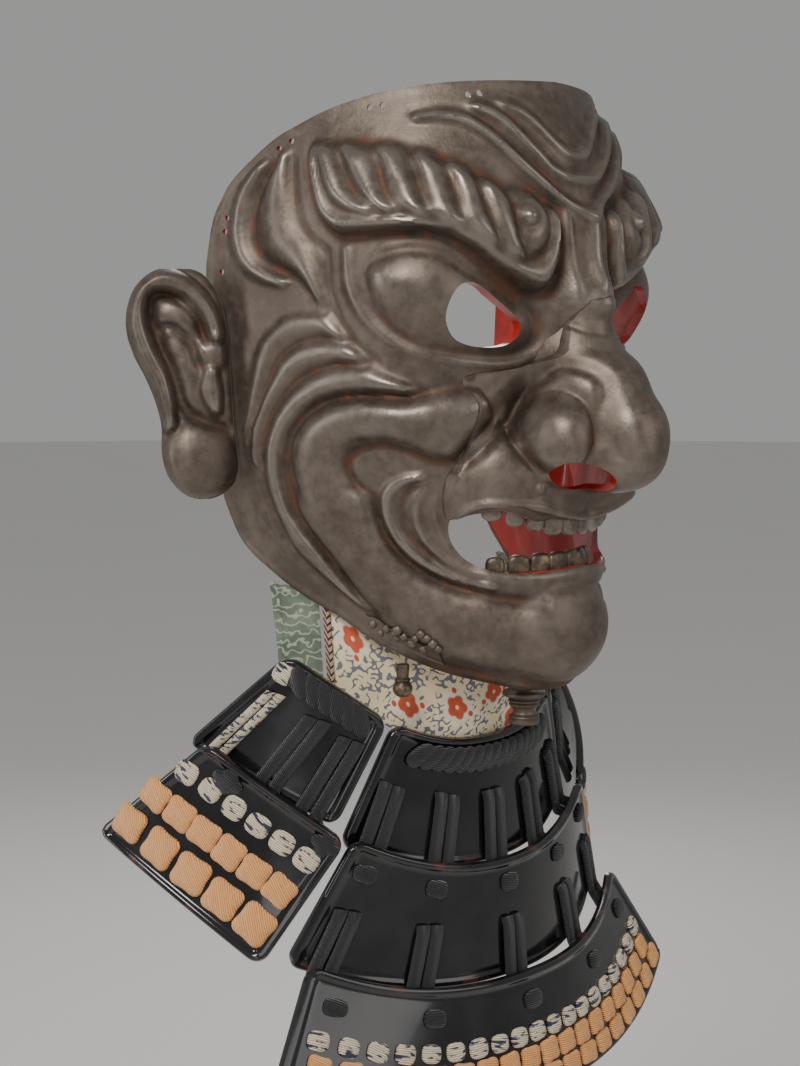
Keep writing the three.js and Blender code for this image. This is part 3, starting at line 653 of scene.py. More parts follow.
def brow_relief(spot):
    """Plateau of the brow with its band, its rope of hair and the curled end."""
    low, top = near(spot, drawn(BROW_LOW))[0], near(spot, drawn(ROPE_TOP))[0]
    edge = closed(BROW_LOW, ROPE_TOP[::-1])
    rise = (7.6 * top + 2.2 * low) / (low + top + 1e-9)
    in_from = np.minimum(near(spot, edge)[0] / 3.2, 1)
    brow = np.where(within(spot, edge), rise * np.sin(in_from * math.pi / 2)**0.9, 0)
    brow += fold(spot, [BAND_MIDDLE], closed(BROW_LOW, BAND_TOP[::-1]), 1.7, 0.8)
    hair = fold(spot, STRANDS, closed(BAND_TOP, ROPE_TOP[::-1]), 4.6, 0.62, walls=STRAND_GAPS)
    for gap in STRAND_GAPS:
        hair += crease(spot, gap, 1.0, 0.9)
    across, up = spot[0] - KNOB[0], spot[1] - KNOB[1]
    egg = np.hypot(across / 6.4, up / 11.4)
    curl = 4.4 * np.sqrt(np.clip(1 - egg**2, 0, 1))
    bead = np.hypot(across - 2.6, up - 3.2)
    curl += 2.8 * np.sqrt(np.clip(1 - (bead / 3.4)**2, 0, 1)) - 1.6 * np.exp(-((bead - 4.3) / 0.9)**2)
    return brow + np.where(egg < 1.08, curl, hair)


def cheek_relief(spot):
    """Crescents, roll and jaw, each swollen up between its grooves."""
    edges = [CHEEK_EDGE] + CHEEK_GROOVES
    out = np.zeros(spot[0].shape)
    for above, below, crest, high in zip(edges, CHEEK_GROOVES, CHEEK_CRESTS, (2.9, 3.4, 4.0)):
        out = np.maximum(out, fold(spot, [crest], closed(above, below[::-1]), high, 0.72))
    # the roll beside the nose and the jaw are one hook, so they swell up together
    hook = closed(ROLL_TOP, JAW_OUTER, JAW_INNER, ROLL_LOW)
    return np.maximum(out, fold(spot, [ROLL_CREST, JAW_CREST], hook, 7.2, 0.66))


def through(line):
    """The line carried on past the middle of the face, as its mirror image starts."""
    return [(-line[1][0], *line[1][1:])] + line


def forehead_relief(spot):
    """Three flames that rise from the middle, steep on their upper side."""
    out = np.zeros(spot[0].shape)
    for (top, crest, low), high in zip(FOREHEAD, (3.6, 4.4, 5.4)):
        ring = closed(through(top), through(low)[::-1])
        out = np.maximum(out, flame(spot, through(crest), ring, high))
    return out


def chin_relief(s, z):
    """The ball of the chin."""
    ball = np.hypot(s / 42.0, (z + 117.5) / 19.3)
    return 11.0 * np.clip(1 - ball**2, 0, 1)**0.62


def eye_relief(spot):
    """The eyeball, domed up within its rim."""
    rim = closed(EYEBALL)
    far = near(spot, rim)[0]
    dome = 4.6 * np.clip(1 - (1 - np.minimum(far / 15, 1))**2, 0, 1)**0.8
    return np.where(within(spot, rim), dome, 0)


# %% the table of strokes
# soft rises: line, height, width
SWELLS = [([(0, 34), (0, 6)], 6.5, 9), (laid([(0, 50), (9, 54), (20, 66)]), 1.5, 9),
          (laid([(46, 12), (36, 8), (28, 4)]), 3.0, 11), ([(0, 4), (0, -34)], 15, 13),
          (laid([(0, -96), (18, -97), (27, -96)]), 3.4, 6.5)]
# round ridges: line, height, softness of the crown
RIDGES = [(TEMPLE_RIDGE, 2.6, 1.2), (LEAF, 3.0, 1.0), (UNDER_EYE, 2.0, 1.3), (MOUTH_FOLD, 3.4, 0.8),
          (MOUTH_FOLD_IN, 2.4, 0.8), (MOUTH_RIM, 1.7, 0.8)]
RIDGES += [(line, 3.2, 0.9) for line in GLABELLA]
# grooves: line, depth, width
GROOVES = [(TEMPLE_GROOVE, 2.0, 1.5), (INNER_GROOVE, 1.4, 1.1), (OUTER_EYE_GROOVE, 1.4, 1.1),
           (CHEEK_GROOVES[0], 1.2, 1.2), (CHEEK_GROOVES[1], 1.4, 1.3), (CHEEK_GROOVES[2], 1.6, 1.4),
           (ROLL_LOW, 1.2, 1.6), (JAW_INNER, 1.6, 1.6), (MOUTH_GROOVE, 1.2, 1.0), (BROW_LOW, 1.2, 2.2),
           (BAND_TOP, 1.0, 0.8), (through(FOREHEAD[0][0]), 1.0, 1.1), (through(FOREHEAD[1][0]), 1.2, 1.2),
           (through(FOREHEAD[2][0]), 1.4, 1.3), (EYEBALL, 0.9, 1.1)]


def face_relief(s, z):
    """Height of the chased face above the plain head at arc length s and height z."""
    spot = (s, z)
    high = sum(swell(spot, *stroke) for stroke in SWELLS)
    jaw = np.logaddexp(2 * chin_relief(s, z), 2 * cheek_relief(spot)) / 2
    masses = [jaw, brow_relief(spot), forehead_relief(spot), eye_relief(spot)]
    high = high + np.maximum.reduce(masses + [tube(spot, *stroke) for stroke in RIDGES])
    for stroke in GROOVES:
        high = high + crease(spot, *stroke)
    return high


print(len(SWELLS), "soft rises,", len(RIDGES), "ridges,", len(GROOVES), "grooves")
# %% [markdown]
# ## The face plate
#
# One curved sheet carries the whole face. Its outer skin is a fine grid, pushed out along the
# head's own outward direction by the chased height, and its lower edge turns in under the chin.
# The inner skin follows more loosely and is lacquered red. The eyes, the nose and the mouth are
# cut through afterwards with prisms, which keeps their edges clean whatever relief lies there;
# cutting them into the grid itself would have left steps. The small holes on the rim once held
# the lacing of a lining.

# %% cutting tools


def smooth_ring(points, step=1.2):
    """A closed smooth outline through the points."""
    p = np.asarray(points, float)
    long = np.vstack([p[-2:], p, p[:3]])
    fine = drawn(long, step)
    a = int(np.argmin(np.hypot(*(fine - p[0]).T)))
    rest = np.hypot(*(fine[a + 4:] - p[0]).T)
    return fine[a:a + 4 + int(np.argmin(rest))]


def prism(name, ring, back=-40, mark=1):
    """A cutter along Y, from in front of everything to back. mark picks the finish of the cut."""
    n = len(ring)
    points = [(x, y, z) for y in (-200, back) for x, z in ring]
    faces = [tuple(range(n)), tuple(range(2 * n - 1, n - 1, -1))]
    faces += [(k, n + k, n + (k + 1) % n, (k + 1) % n) for k in range(n)]
    return make(name, points, faces, [iron, red], None, which=[mark] * len(faces))


def carve(thing, tools, how="DIFFERENCE", smooth=35):
    """Cuts the tools out of a piece, or keeps what lies within them, and throws them away."""
    for tool in tools:
        cut = thing.modifiers.new("cut", "BOOLEAN")
        cut.solver = "MANIFOLD"
        cut.operation = how
        cut.object = tool
    bpy.context.view_layer.update()
    before = len(thing.data.polygons)
    done = bpy.data.meshes.new_from_object(thing.evaluated_get(bpy.context.evaluated_depsgraph_get()))
    thing.modifiers.clear()
    thing.data = done
    for tool in tools:
        bpy.data.objects.remove(tool)
    finish_shading(thing, smooth)
    print(thing.name, "had", before, "faces, now", len(done.polygons), [a.name for a in done.attributes][:8])


def pebble(at, right, up, out, power=4.0, rows=10, ring=20, lobes=0.0):
    """Points and faces of a rounded block with the half axes right, up and out. A higher power is
    squarer, and lobes pulls its outline into four leaves."""
    v = np.linspace(-math.pi / 2, math.pi / 2, rows + 2)[1:-1, None]
    u = np.linspace(0, 2 * math.pi, ring + 1)[:-1]
    puffed = 1 + lobes * np.cos(4 * u)
    a = np.sign(np.cos(u)) * np.abs(np.cos(u))**(2 / power) * np.cos(v)**(2 / power) * puffed
    b = np.sign(np.sin(u)) * np.abs(np.sin(u))**(2 / power) * np.cos(v)**(2 / power) * puffed
    c = np.sign(np.sin(v)) * np.abs(np.sin(v))**(2 / power) + 0 * a
    right, up, out = (np.asarray(w, float) for w in (right, up, out))
    skin = a[..., None] * right + b[..., None] * up + c[..., None] * out
    points = np.vstack([skin.reshape(-1, 3), [-out, out]]) + np.asarray(at, float)
    n, last = rows * ring, (rows - 1) * ring
    caps = [(n, (k + 1) % ring, k) for k in range(ring)]
    caps += [(n + 1, last + k, last + (k + 1) % ring) for k in range(ring)]
    return points, quads(rows, ring, ring=True) + caps


def merge(bodies):
    """Joins bodies, each given as points and faces, into one."""
    points, faces, first = [], [], 0
    for some, flat in bodies:
        points.append(some)
        faces += [tuple(first + k for k in face) for face in flat]
        first += len(some)
    return np.vstack(points), faces


def mirror(ring):
    """The outline seen from the other side, still running the same way round."""
    return [(-x, z) for x, z in ring][::-1]


def grow(ring, d):
    """The outline pushed outwards by d."""
    p = np.asarray(ring, float)
    along = np.roll(p, -1, axis=0) - np.roll(p, 1, axis=0)
    along /= np.hypot(*along.T)[:, None] + 1e-9
    turn = 1 if np.sum(p[:, 0] * np.roll(p[:, 1], -1) - np.roll(p[:, 0], -1) * p[:, 1]) > 0 else -1
    return p + turn * d * np.stack([along[:, 1], -along[:, 0]], -1)


EYE = [(56.5, 2.5), (56, 7.5), (53, 11.8), (48.5, 13.4), (43.8, 12.3), (38.5, 8.6), (31.3, 4.2),
       (26.6, 0.8), (25.2, -2.5), (26.3, -6.3), (29.4, -8.8), (35.6, -9.7), (43.4, -9.2), (50, -6.8),
       (54.5, -2.2)]
NOSE_SIDE = [(6.5, 7), (10, 1), (13, -6), (15.5, -12.5), (22.5, -16.8), (30.5, -18.3), (38, -19),
             (44, -21), (43, -26), (43, -33), (43, -40), (43, -47.5), (44.5, -52.6), (46.6, -57),
             (46.4, -64.5), (44.5, -72)]
LIP_EDGE = [(42, -69.6), (39, -67.4), (34, -66.4), (28, -68.2), (20, -71), (10, -73)]
MOUTH_SIDE = [(43.5, -74), (42.5, -80), (40, -85), (36.5, -88.8), (32, -91.4), (26, -92.6), (18, -92.8),
              (9, -92)]


def nose_ring():
    """Outline of the nose plate seen from the front, smooth but for the corners of the lip."""
    side = drawn(NOSE_SIDE, 1.5)
    lip = drawn([(44.5, -72)] + LIP_EDGE + [(0, -73.6), (-10, -73)], 1.5)
    lip = lip[1:int(np.argmin(np.abs(lip[:, 0])))]
    right = [(6.5, 7)] + [tuple(p) for p in side[1:]] + [tuple(p) for p in lip]
    return [(0, 8.5)] + right + [(0, -73.6)] + mirror(right)


def mouth_ring():
    """Outline of the mouth; its top is hidden behind the nose plate."""
    side = drawn([(42.5, -69)] + MOUTH_SIDE + [(0, -91.5), (-9, -92)], 1.5)
    side = side[:int(np.argmin(np.abs(side[:, 0])))]
    right = [(30, -60)] + [tuple(p) for p in side]
    return [(0, -60)] + right + [(0, -91.5)] + mirror(right)


def lowest_near(height, reach, skip=1):
    """The lowest height within reach rows and columns of each point."""
    pad = np.pad(height, reach, mode="edge")
    rows, cols = height.shape
    shifts = range(2 * reach + 1)
    return np.minimum.reduce([pad[a:a + rows, b:b + cols] for a in shifts for b in shifts[::skip]])


# %% face plate
FACE_ROWS, MIDDLE, TURNED = 217, 150, 12     # rows, the column in the middle, rows turned in below
FACE_COLS = 2 * MIDDLE + 1
cols = np.linspace(0, arc(SIDE), MIDDLE + 1)
cols = np.concatenate([-cols[:0:-1], cols])
degrees = np.sign(cols) * angle(np.abs(cols))
upper, lower = table(*RIM_TOP, np.abs(degrees)), table(*RIM_LOW, np.abs(degrees))
down = np.linspace(0, 1, FACE_ROWS)[:, None]
rows_z = upper + (lower - upper) * down
half = face_relief(np.broadcast_to(cols[MIDDLE:], (FACE_ROWS, MIDDLE + 1)), rows_z[:, MIDDLE:])
# a thin bead along the upper and the side rims
from_rim = np.minimum((upper - lower)[None, MIDDLE:] * down, cols[-1] - cols[None, MIDDLE:] + 0 * down)
half += 0.6 * np.exp(-((from_rim - 1.0) / 0.9)**2)
half = eased(np.concatenate([half[:, 6:0:-1], half], axis=1), 2)[:, 6:]
relief = np.concatenate([half[:, :0:-1], half], axis=1)


def outward(deg, z):
    """Outward direction of the plain head, level with the ground."""
    step = head(deg + 0.2, z) - head(deg, z)
    n = np.stack([step[..., 1], -step[..., 0], 0 * step[..., 0]], -1)
    n /= np.linalg.norm(n, axis=-1, keepdims=True)
    p = head(deg, z)
    return n * np.sign(np.sum(n * p * (1, 1, 0), axis=-1, keepdims=True))


def carried_on(values):
    """The values of the sheet with its last row repeated for the turned-in edge."""
    return np.vstack([values, np.repeat(values[-1:], TURNED, axis=0)])


def plate_skin(height, thick):
    """The chased sheet with its turned-in lower edge; thick is how far below the outer skin."""
    turn = np.radians(np.linspace(0, 90, TURNED + 1))[1:, None]
    turn = np.vstack([np.zeros((FACE_ROWS, 1)), turn])
    z, high, deep = carried_on(rows_z), carried_on(height), carried_on(thick)
    inward = 1.5 + 21 * np.exp(-(np.abs(degrees) / 27)**2)
    out = (high - deep) * np.cos(turn) - inward * (1 - np.cos(turn))
    deg = np.broadcast_to(degrees, z.shape)
    skin = head(deg, z) + outward(deg, z) * out[..., None]
    skin[..., 2] += (deep - 4) * np.sin(turn)
    return skin


depth = np.minimum(relief - eased(lowest_near(relief, 4, 2), 3) + 1.3, 6)
outer = plate_skin(relief, 0 * relief)
inner = plate_skin(relief, depth)[::3]
wear = carried_on((relief - eased(relief, 22)) / 1.1)
points, faces, which = shell(outer, inner)
strips = FACE_COLS - 1
rim_start = (len(outer) - 1 + len(inner) - 1) * strips
which[rim_start + 1:rim_start + 2 * strips:2] = [0] * strips     # the turned-in edge stays iron
face = make("face_plate", points, faces, [iron, red], "russet_iron", ["face_plate"], which,
            np.concatenate([wear.ravel(), np.zeros(len(inner) * FACE_COLS)]))
eye_ring = smooth_ring(EYE)
tools = [prism("eye_cut", ring) for ring in (eye_ring, mirror(eye_ring))]
tools += [prism("nose_cut", grow(nose_ring(), 0.15)), prism("mouth_cut", mouth_ring())]
RIM_HOLES = [(24.7, 81), (27.6, 80.3), (47, 76.7), (49.8, 76), (66.6, 65), (69.3, 62.6), (80.5, 38), (81, 33),
             (81.5, 18)]
HOLE = [(math.cos(a) * 1.15, math.sin(a) * 1.15) for a in np.linspace(0, 2 * math.pi, 17)[:-1]]
for deg, z in RIM_HOLES:
    for side in (-1, 1):
        place = np.array([side * deg]), np.array([float(z)])
        at, away = head(*place)[0], outward(*place)[0]
        across, n = np.array([-away[1], away[0], 0]), len(HOLE)
        body = [at + away * d + across * u + np.array([0, 0, v]) for d in (12, -8) for u, v in HOLE]
        sides = [(k, n + k, n + (k + 1) % n, (k + 1) % n) for k in range(n)]
        sides += [tuple(range(n)), tuple(range(2 * n - 1, n - 1, -1))]
        tools.append(make("hole", body, sides, [iron, red], None, which=[1] * len(sides)))
carve(face, tools, smooth=50)

# %% [markdown]
# ## The nose plate
#
# The nose, its wings and the upper lip are a separate plate, pinned into the gap of the face. A
# nose has no main direction, so a height map over the head would tear at the tip. Instead a few
# round masses are melted into one another and into the face behind, and the skin is found along
# rays that fan out from a point inside the head. The finer lines are then chased on that fan,
# where one degree is a little more than a millimetre.

# %% nose masses
HEART = np.array([0, -78, -42])
MASSES = [((0, -141, -43), (16.5, 22, 20), 2.2), ((0, -116, -16), (18, 25, 26), 2),
          ((0, -125, -29), (21, 29, 21), 2.2),
          ((15.5, -129, -44), (15, 17, 16.5), 2.2), ((-15.5, -129, -44), (15, 17, 16.5), 2.2),
          ((0, -94, -58), (47, 38, 25), 2.6)]
spread, tall = np.meshgrid(np.linspace(0, 62, 125), np.arange(-104, 31.0))
behind = head(spread, tall) + outward(spread, tall) * eased(face_relief(arc(spread), tall), 1)[..., None]
FRONT = np.array([np.interp(np.arange(0, 60, 0.5), np.maximum.accumulate(row[:, 0]), -row[:, 1])
                  for row in behind])


def face_front(x, z):
    """How far forward the face plate would be at x and z."""
    i, j = np.clip(np.abs(x) / 0.5, 0, 118.9), np.clip(z + 104, 0, 133.9)
    a, b = i.astype(int), j.astype(int)
    u, v = i - a, j - b
    return ((1 - v) * ((1 - u) * FRONT[b, a] + u * FRONT[b, a + 1])
            + v * ((1 - u) * FRONT[b + 1, a] + u * FRONT[b + 1, a + 1]))


def melted(p):
    """Above 0 inside the melted masses."""
    total = np.exp(14 * np.minimum(face_front(p[..., 0], p[..., 2]) + p[..., 1], 60) / 30)
    for centre, radii, power in MASSES:
        far = np.sum(np.abs((p - centre) / radii)**power, axis=-1)**(1 / power)
        total = total + np.exp(14 * (1 - far))
    return np.log(total) / 14


FAN = 1.2                      # mm on the skin for one degree of the fan


def fan(points):
    """A line given in degrees (across, up, ...) put on the scale of the fan."""
    return [(FAN * p[0], FAN * p[1], *p[2:]) for p in points]


WING_TOP = fan([(38, 1), (36, 8), (32, 16), (26, 21), (19, 25), (15, 23), (12, 20), (10, 16), (10.5, 11),
                (11.5, 6), (11, 1), (9, -4)])
WING_LOW = fan([(38, 1), (36.5, -3), (33, -7), (30, -10), (27, -12)])
LIP_CREASE = fan([(66, -12), (60, -12), (54, -9), (50, -6), (47, -3), (43, 1), (40, 5)])
SIDE_RIDGE = fan([(64, 6), (56, 8), (49, 14), (42, 20), (36, 25), (29, 30), (22, 34)])
ROOT_STEP = fan([(13, 38), (10, 35), (6, 32.5), (0, 31.5), (-6, 32.5)])
LIP_RIM = fan([(62, -34, 1.2), (59, -30, 1.8), (54, -26, 2), (48, -23.2, 2), (41, -23, 2), (29, -24, 2),
               (16, -28, 2), (3, -31, 2), (-3, -31, 2)])
MUZZLE_EDGE = fan([(56, -10, 1.5), (59, -13, 2.2), (63, -18, 2.4), (65, -23, 2.2), (67, -29, 1.8)])
PHILTRUM = fan([(0, -16), (0, -28)])

def drop_crumbs(thing):
    """Keeps the biggest body of a piece and drops the loose crumbs left by the cuts."""
    flow = bmesh.new()
    flow.from_mesh(thing.data)
    left, clumps = set(flow.verts), []
    while left:
        todo, clump = [left.pop()], set()
        while todo:
            v = todo.pop()
            clump.add(v)
            for edge in v.link_edges:
                other = edge.other_vert(v)
                if other in left:
                    left.discard(other)
                    todo.append(other)
        clumps.append(clump)
    clumps.sort(key=len)
    for clump in clumps[:-1]:
        bmesh.ops.delete(flow, geom=list(clump), context="VERTS")
    flow.to_mesh(thing.data)
    flow.free()
    print(thing.name, "kept the biggest of", [len(clump) for clump in clumps])


# %% nose plate
az, el = np.meshgrid(np.linspace(-82, 82, 271), np.linspace(52, -42, 157))
ray = np.stack([np.sin(np.radians(az)) * np.cos(np.radians(el)),
                -np.cos(np.radians(az)) * np.cos(np.radians(el)), np.sin(np.radians(el))], -1)
small, large = np.zeros(az.shape), np.full(az.shape, 112.0)
for _ in range(22):
    middle = (small + large) / 2
    inside = melted(HEART + ray * middle[..., None]) > 0
    small, large = np.where(inside, middle, small), np.where(inside, large, middle)
spot = (FAN * np.abs(az), FAN * el)
chased = crease(spot, WING_TOP, 2.6, 3.0) + crease(spot, WING_LOW, 2.2, 2.2)
chased += crease(spot, LIP_CREASE, 2.4, 2.6) + swell(spot, SIDE_RIDGE, 2.0, 6.0)
chased += crease(spot, ROOT_STEP, 0.9, 1.2) + tube(spot, LIP_RIM, 1.5) + tube(spot, MUZZLE_EDGE, 1.1)
chased += crease(spot, PHILTRUM, 0.8, 4.0)
wing = np.hypot((spot[0] - FAN * 24.0) / 12.0, (spot[1] - FAN * 3) / 17.0)
chased += 3.0 * np.clip(1 - wing**2, 0, 1)**0.7 - 0.9 * np.exp(-((wing - 1.02) / 0.09)**2)
for place, size in (((54, 24), 2.6), ((27, -18), 2.4)):
    pin = np.hypot(spot[0] - FAN * place[0], spot[1] - FAN * place[1]) / size
    chased += 0.9 * np.sqrt(np.clip(1 - pin**2, 0, 1)) - 0.7 * np.exp(-((pin - 1.25) / 0.22)**2)
radius = small + eased(chased, 1)
wear = (radius - eased(radius, 20)) / 1.3
low = eased(lowest_near(radius, 3), 2)
outer = HEART + ray * radius[..., None]
inner = (HEART + ray * (low - 1.2)[..., None])[::3]
points, faces, which = shell(outer, inner)
nose = make("nose_plate", points, faces, [iron, red], "russet_iron", ["nose_plate"], which,
            np.concatenate([wear.ravel(), np.zeros(inner[..., 0].size)]))
carve(nose, [prism("nose_outline", nose_ring(), -60, 0)], "INTERSECT")
tools = []
for side in (-1, 1):
    a, b = np.radians(-side * 16), np.radians(side * 24)
    tip = np.array([[math.cos(a), 0, math.sin(a)], [0, 1, 0], [-math.sin(a), 0, math.cos(a)]])
    yaw = np.array([[math.cos(b), -math.sin(b), 0], [math.sin(b), math.cos(b), 0], [0, 0, 1]])
    egg, sides = pebble((0, 0, 0), (12, 0, 0), (0, 13, 0), (0, 0, 5.6), 2.3, 20, 40)
    egg = egg @ (yaw @ tip).T + (side * 17.5, -141, -56.5)
    tools.append(make("nostril", egg, sides, [iron, red], None, which=[1] * len(sides)))
carve(nose, tools)
# a lap of thin sheet behind the edge of the nose plate, so no light comes through the seam
front, back = (HEART + (ray * (low - under)[..., None])[::2, ::2] for under in (1.9, 2.7))
points, faces, which = shell(front, back[::3])
lap = make("nose_lap", points, faces, [iron, red], "russet_iron", which=which)
carve(lap, [prism("lap_outline", grow(nose_ring(), 2.2), -60)], "INTERSECT")
carve(lap, [prism("lap_middle", grow(nose_ring(), -3.0), -60)])
drop_crumbs(nose)

# %% [markdown]
# ## Teeth
#
# Both rows are cast metal lumps on a strip. One repeated block would look like a machine part,
# so every tooth gets its own width, height and lean from a seeded random source.

# %% teeth
enamel, tree, shader = material("teeth_iron", (0.3, 0.27, 0.23), 0.42, Metallic=0.45)
spot3 = node(tree, "TexCoord").outputs["Object"]
stain = noise(tree, spot3, 120, 4.0)
tree.links.new(mixed(tree, ramp(tree, stain, 0.35, 0.65), (0.12, 0.095, 0.075), (0.27, 0.235, 0.20)),
               shader.inputs["Base Color"])
relief_map(tree, shader, noise(tree, spot3, 300, 3.0), 0.2)
gilt, tree, shader = material("teeth_gilt", (0.4, 0.3, 0.18), 0.4, Metallic=0.7)
spot3 = node(tree, "TexCoord").outputs["Object"]
tree.links.new(mixed(tree, ramp(tree, noise(tree, spot3, 160, 4.0), 0.42, 0.6), (0.095, 0.075, 0.060),
                     (0.22, 0.165, 0.105)), shader.inputs["Base Color"])
relief_map(tree, shader, noise(tree, spot3, 300, 3.0), 0.2)
dice = random.Random(7)
for name, slot, half, front, bow, ends_at, z_root, z_tip, finish in (
        ("upper_teeth", "teeth_iron", 36, 127.0, 19, 0.98,
         lambda t: -66 + 1.5 * t * t, lambda t: -79.5 + 8.5 * t * t, enamel),
        ("lower_teeth", "teeth_gilt", 35, 120.5, 23, 0.82,
         lambda t: -94.5 - t * t, lambda t: -85.5 - 3 * t * t, gilt)):
    made, edge = [], -ends_at
    while edge < ends_at - 0.03:
        wide = dice.uniform(0.17, 0.23)
        t = min(edge + wide / 2, ends_at - 0.05)
        edge += wide
        root, tip = z_root(t), z_tip(t) + (0.6 if z_tip(0) < z_root(0) else -0.6) * dice.random()
        lean = math.atan2(2 * bow * t, half)
        right = np.array([math.cos(lean), math.sin(lean), 0]) * half * wide * 0.60
        out = np.array([math.sin(lean), -math.cos(lean), 0]) * 2.1
        up = (dice.uniform(-0.3, 0.3), 0, (root - tip) / 2 * 1.06)
        at = (half * t, -(front - bow * t * t - 1.7), (root + tip) / 2)
        made.append(pebble(at, right, up, out, 2.8, 14, 28))
    # the strip that the teeth are rooted in, a rod bent along the row
    t = np.linspace(-1, 1, 41)[:, None]
    gum = np.linspace(0, 2 * math.pi, 13)[:-1]
    n, last = len(gum), (len(t) - 1) * len(gum)
    strip = np.stack([half * t * 1.01 + 0 * gum, -(front - bow * t * t - 1.6) + 1.3 * np.cos(gum),
                      z_root(t) + (z_tip(t) - z_root(t)) * 0.12 + 1.6 * np.sin(gum)], -1)
    ends = [tuple(range(n - 1, -1, -1)), tuple(range(last, last + n))]
    made.append((strip.reshape(-1, 3), quads(len(t), n, ring=True) + ends))
    make(name, *merge(made), [finish], slot, [name])
    print(name, len(made) - 1, "teeth")

# %% [markdown]
# ## Ears
#
# An ear is a thick casting on the side of the plate: a rolled rim, a hollow with an inner fold,
# and a ball shaped lobe. It is drawn in its own plane as rows from its inner to its outer edge,
# chased with the same strokes as the face, and leaned back.

# %% ears
EAR = [(4, 12), (9, 17.5), (17, 19.5), (26, 18.5), (33, 13), (36.5, 5), (37, -4), (34.5, -13), (30, -22),
       (26.5, -31), (24.5, -40), (24.5, -50), (22, -59), (16, -65.5), (9, -67.5), (2.5, -64), (-1, -57),
       (-1.5, -48), (-1, -38), (-1, -28), (-1, -18), (-0.5, -8), (0.5, 2), (2, 8)]
HELIX = [(3.9, -4.6, 3.6), (7.8, 4, 4.2), (14, 11, 4.6), (21, 14.6, 4.6), (28, 14.4, 4.6), (32.3, 10, 4.5),
         (33, 3, 4.3), (32, -4.5, 4.3), (29.3, -12, 4.2), (25.5, -20.5, 4), (23, -30, 3.6), (21.5, -38.5, 3)]
EAR_CREASE = [(7.8, -7), (9.4, 0), (14, 6.4), (20.3, 9.6), (26, 9.2), (28.4, 5), (28, -1), (24.8, -9.5),
              (20.6, -18), (17.8, -27), (15.4, -33), (11.5, -37), (6.5, -39.5), (1, -41)]
EAR_CREASE_2 = [(25, -3.4), (21.7, -2.2), (17.2, -4.6), (12.5, -9.7), (10.5, -16)]
outline = smooth_ring(EAR, 0.8)
ROWS, COLS = 151, 75
ear_z = -24.2 + 43.2 * np.cos(np.linspace(0, math.pi, ROWS))
reach = []
for z in ear_z:
    hits = []
    for a, b in zip(outline, np.roll(outline, -1, axis=0)):
        if (a[1] > z) != (b[1] > z):
            hits.append(a[0] + (z - a[1]) * (b[0] - a[0]) / (b[1] - a[1]))
    reach.append((min(hits), max(hits)))
reach = np.array(reach)
share = (1 - np.cos(np.linspace(0, math.pi, COLS))) / 2
e = reach[:, :1] + (reach[:, 1:] - reach[:, :1]) * share
z = np.broadcast_to(ear_z[:, None], e.shape)
spot = (e, z)
high = 3.4 + tube(spot, HELIX, 5.6) + tube(spot, [(6, -20, 3), (6.3, -27.5, 4.2), (5, -33, 2.5)], 4.2)
high += 3.4 * np.clip(1 - ((e - 5.5) / 6.5)**2 - ((z + 12) / 7.5)**2, 0, 1)**0.7
high += 2.6 * np.clip(1 - ((e - 18.3) / 9)**2 - ((z - 1.0) / 7.5)**2, 0, 1)**0.8
high += 1.8 * np.clip(1 - ((e - 16) / 9)**2 - ((z + 19) / 17)**2, 0, 1)**0.8
high = np.maximum(high, 2 + 8.2 * np.clip(1 - ((e - 11.6) / 13.4)**2 - ((z + 52) / 15.6)**2, 0, 1)**0.58)
high += crease(spot, EAR_CREASE, 2.6, 1.9) + crease(spot, EAR_CREASE_2, 2.4, 1.7)
high += crease(spot, [(15, -34), (10, -37.6), (5, -40), (0, -41)], 0.8, 1.6)
rim = near(spot, np.vstack([outline, outline[:1]]))[0]
high = eased(np.maximum(high * np.sqrt(np.clip(1 - (1 - np.minimum(rim / 3.5, 1))**2, 0.02, 1)), 1.2), 2)
wear = (high - eased(high, 14)) / 0.9


def ear_skin(side, height, e, z):
    """Points of an ear from its own plane: e runs back from its root, height away from it."""
    hug = 0.72 * (table(HEIGHTS, HALF_WIDTH, z) - 82) * np.clip(1 - e / 15, 0, 1)
    x, y = 82.6 + hug + 0.8 * e + 0.6 * height, -21 + 0.6 * e - 0.8 * height
    return np.stack([side * x, y, z + 0 * e], -1)


for word, side in (("right", -1), ("left", 1)):
    outer, inner = ear_skin(side, high, e, z), ear_skin(side, 0 * high[::3], e[::3], z[::3])
    points, faces, which = shell(outer, inner)
    make("ear_" + word, points, faces, [iron], "russet_iron", ["ear_" + word], None,
         np.concatenate([wear.ravel(), np.zeros(inner.shape[0] * COLS)]), 60)
print("two ears")

# %% [markdown]
# ## Small iron and bronze fittings
#
# Under the chin sits a turned drain with a beaded flange. On each side of the jaw a small pierced
# plate with raised buttons marks the peg that the tying cord winds round. Turned pieces are made
# by spinning a profile, with the ribs as real shape.

# %% fittings
bronze, tree, shader = material("bronze", (0.42, 0.30, 0.17), 0.34, Metallic=0.85)
spot3 = node(tree, "TexCoord").outputs["Object"]
cloud = noise(tree, spot3, 240, 4.0)
tree.links.new(mixed(tree, ramp(tree, cloud, 0.35, 0.62), (0.070, 0.055, 0.043), (0.20, 0.15, 0.10)),
               shader.inputs["Base Color"])
tree.links.new(ramp(tree, cloud, 0.3, 0.7, 0.5, 0.28), shader.inputs["Roughness"])
relief_map(tree, shader, noise(tree, spot3, 600, 3.0), 0.12)


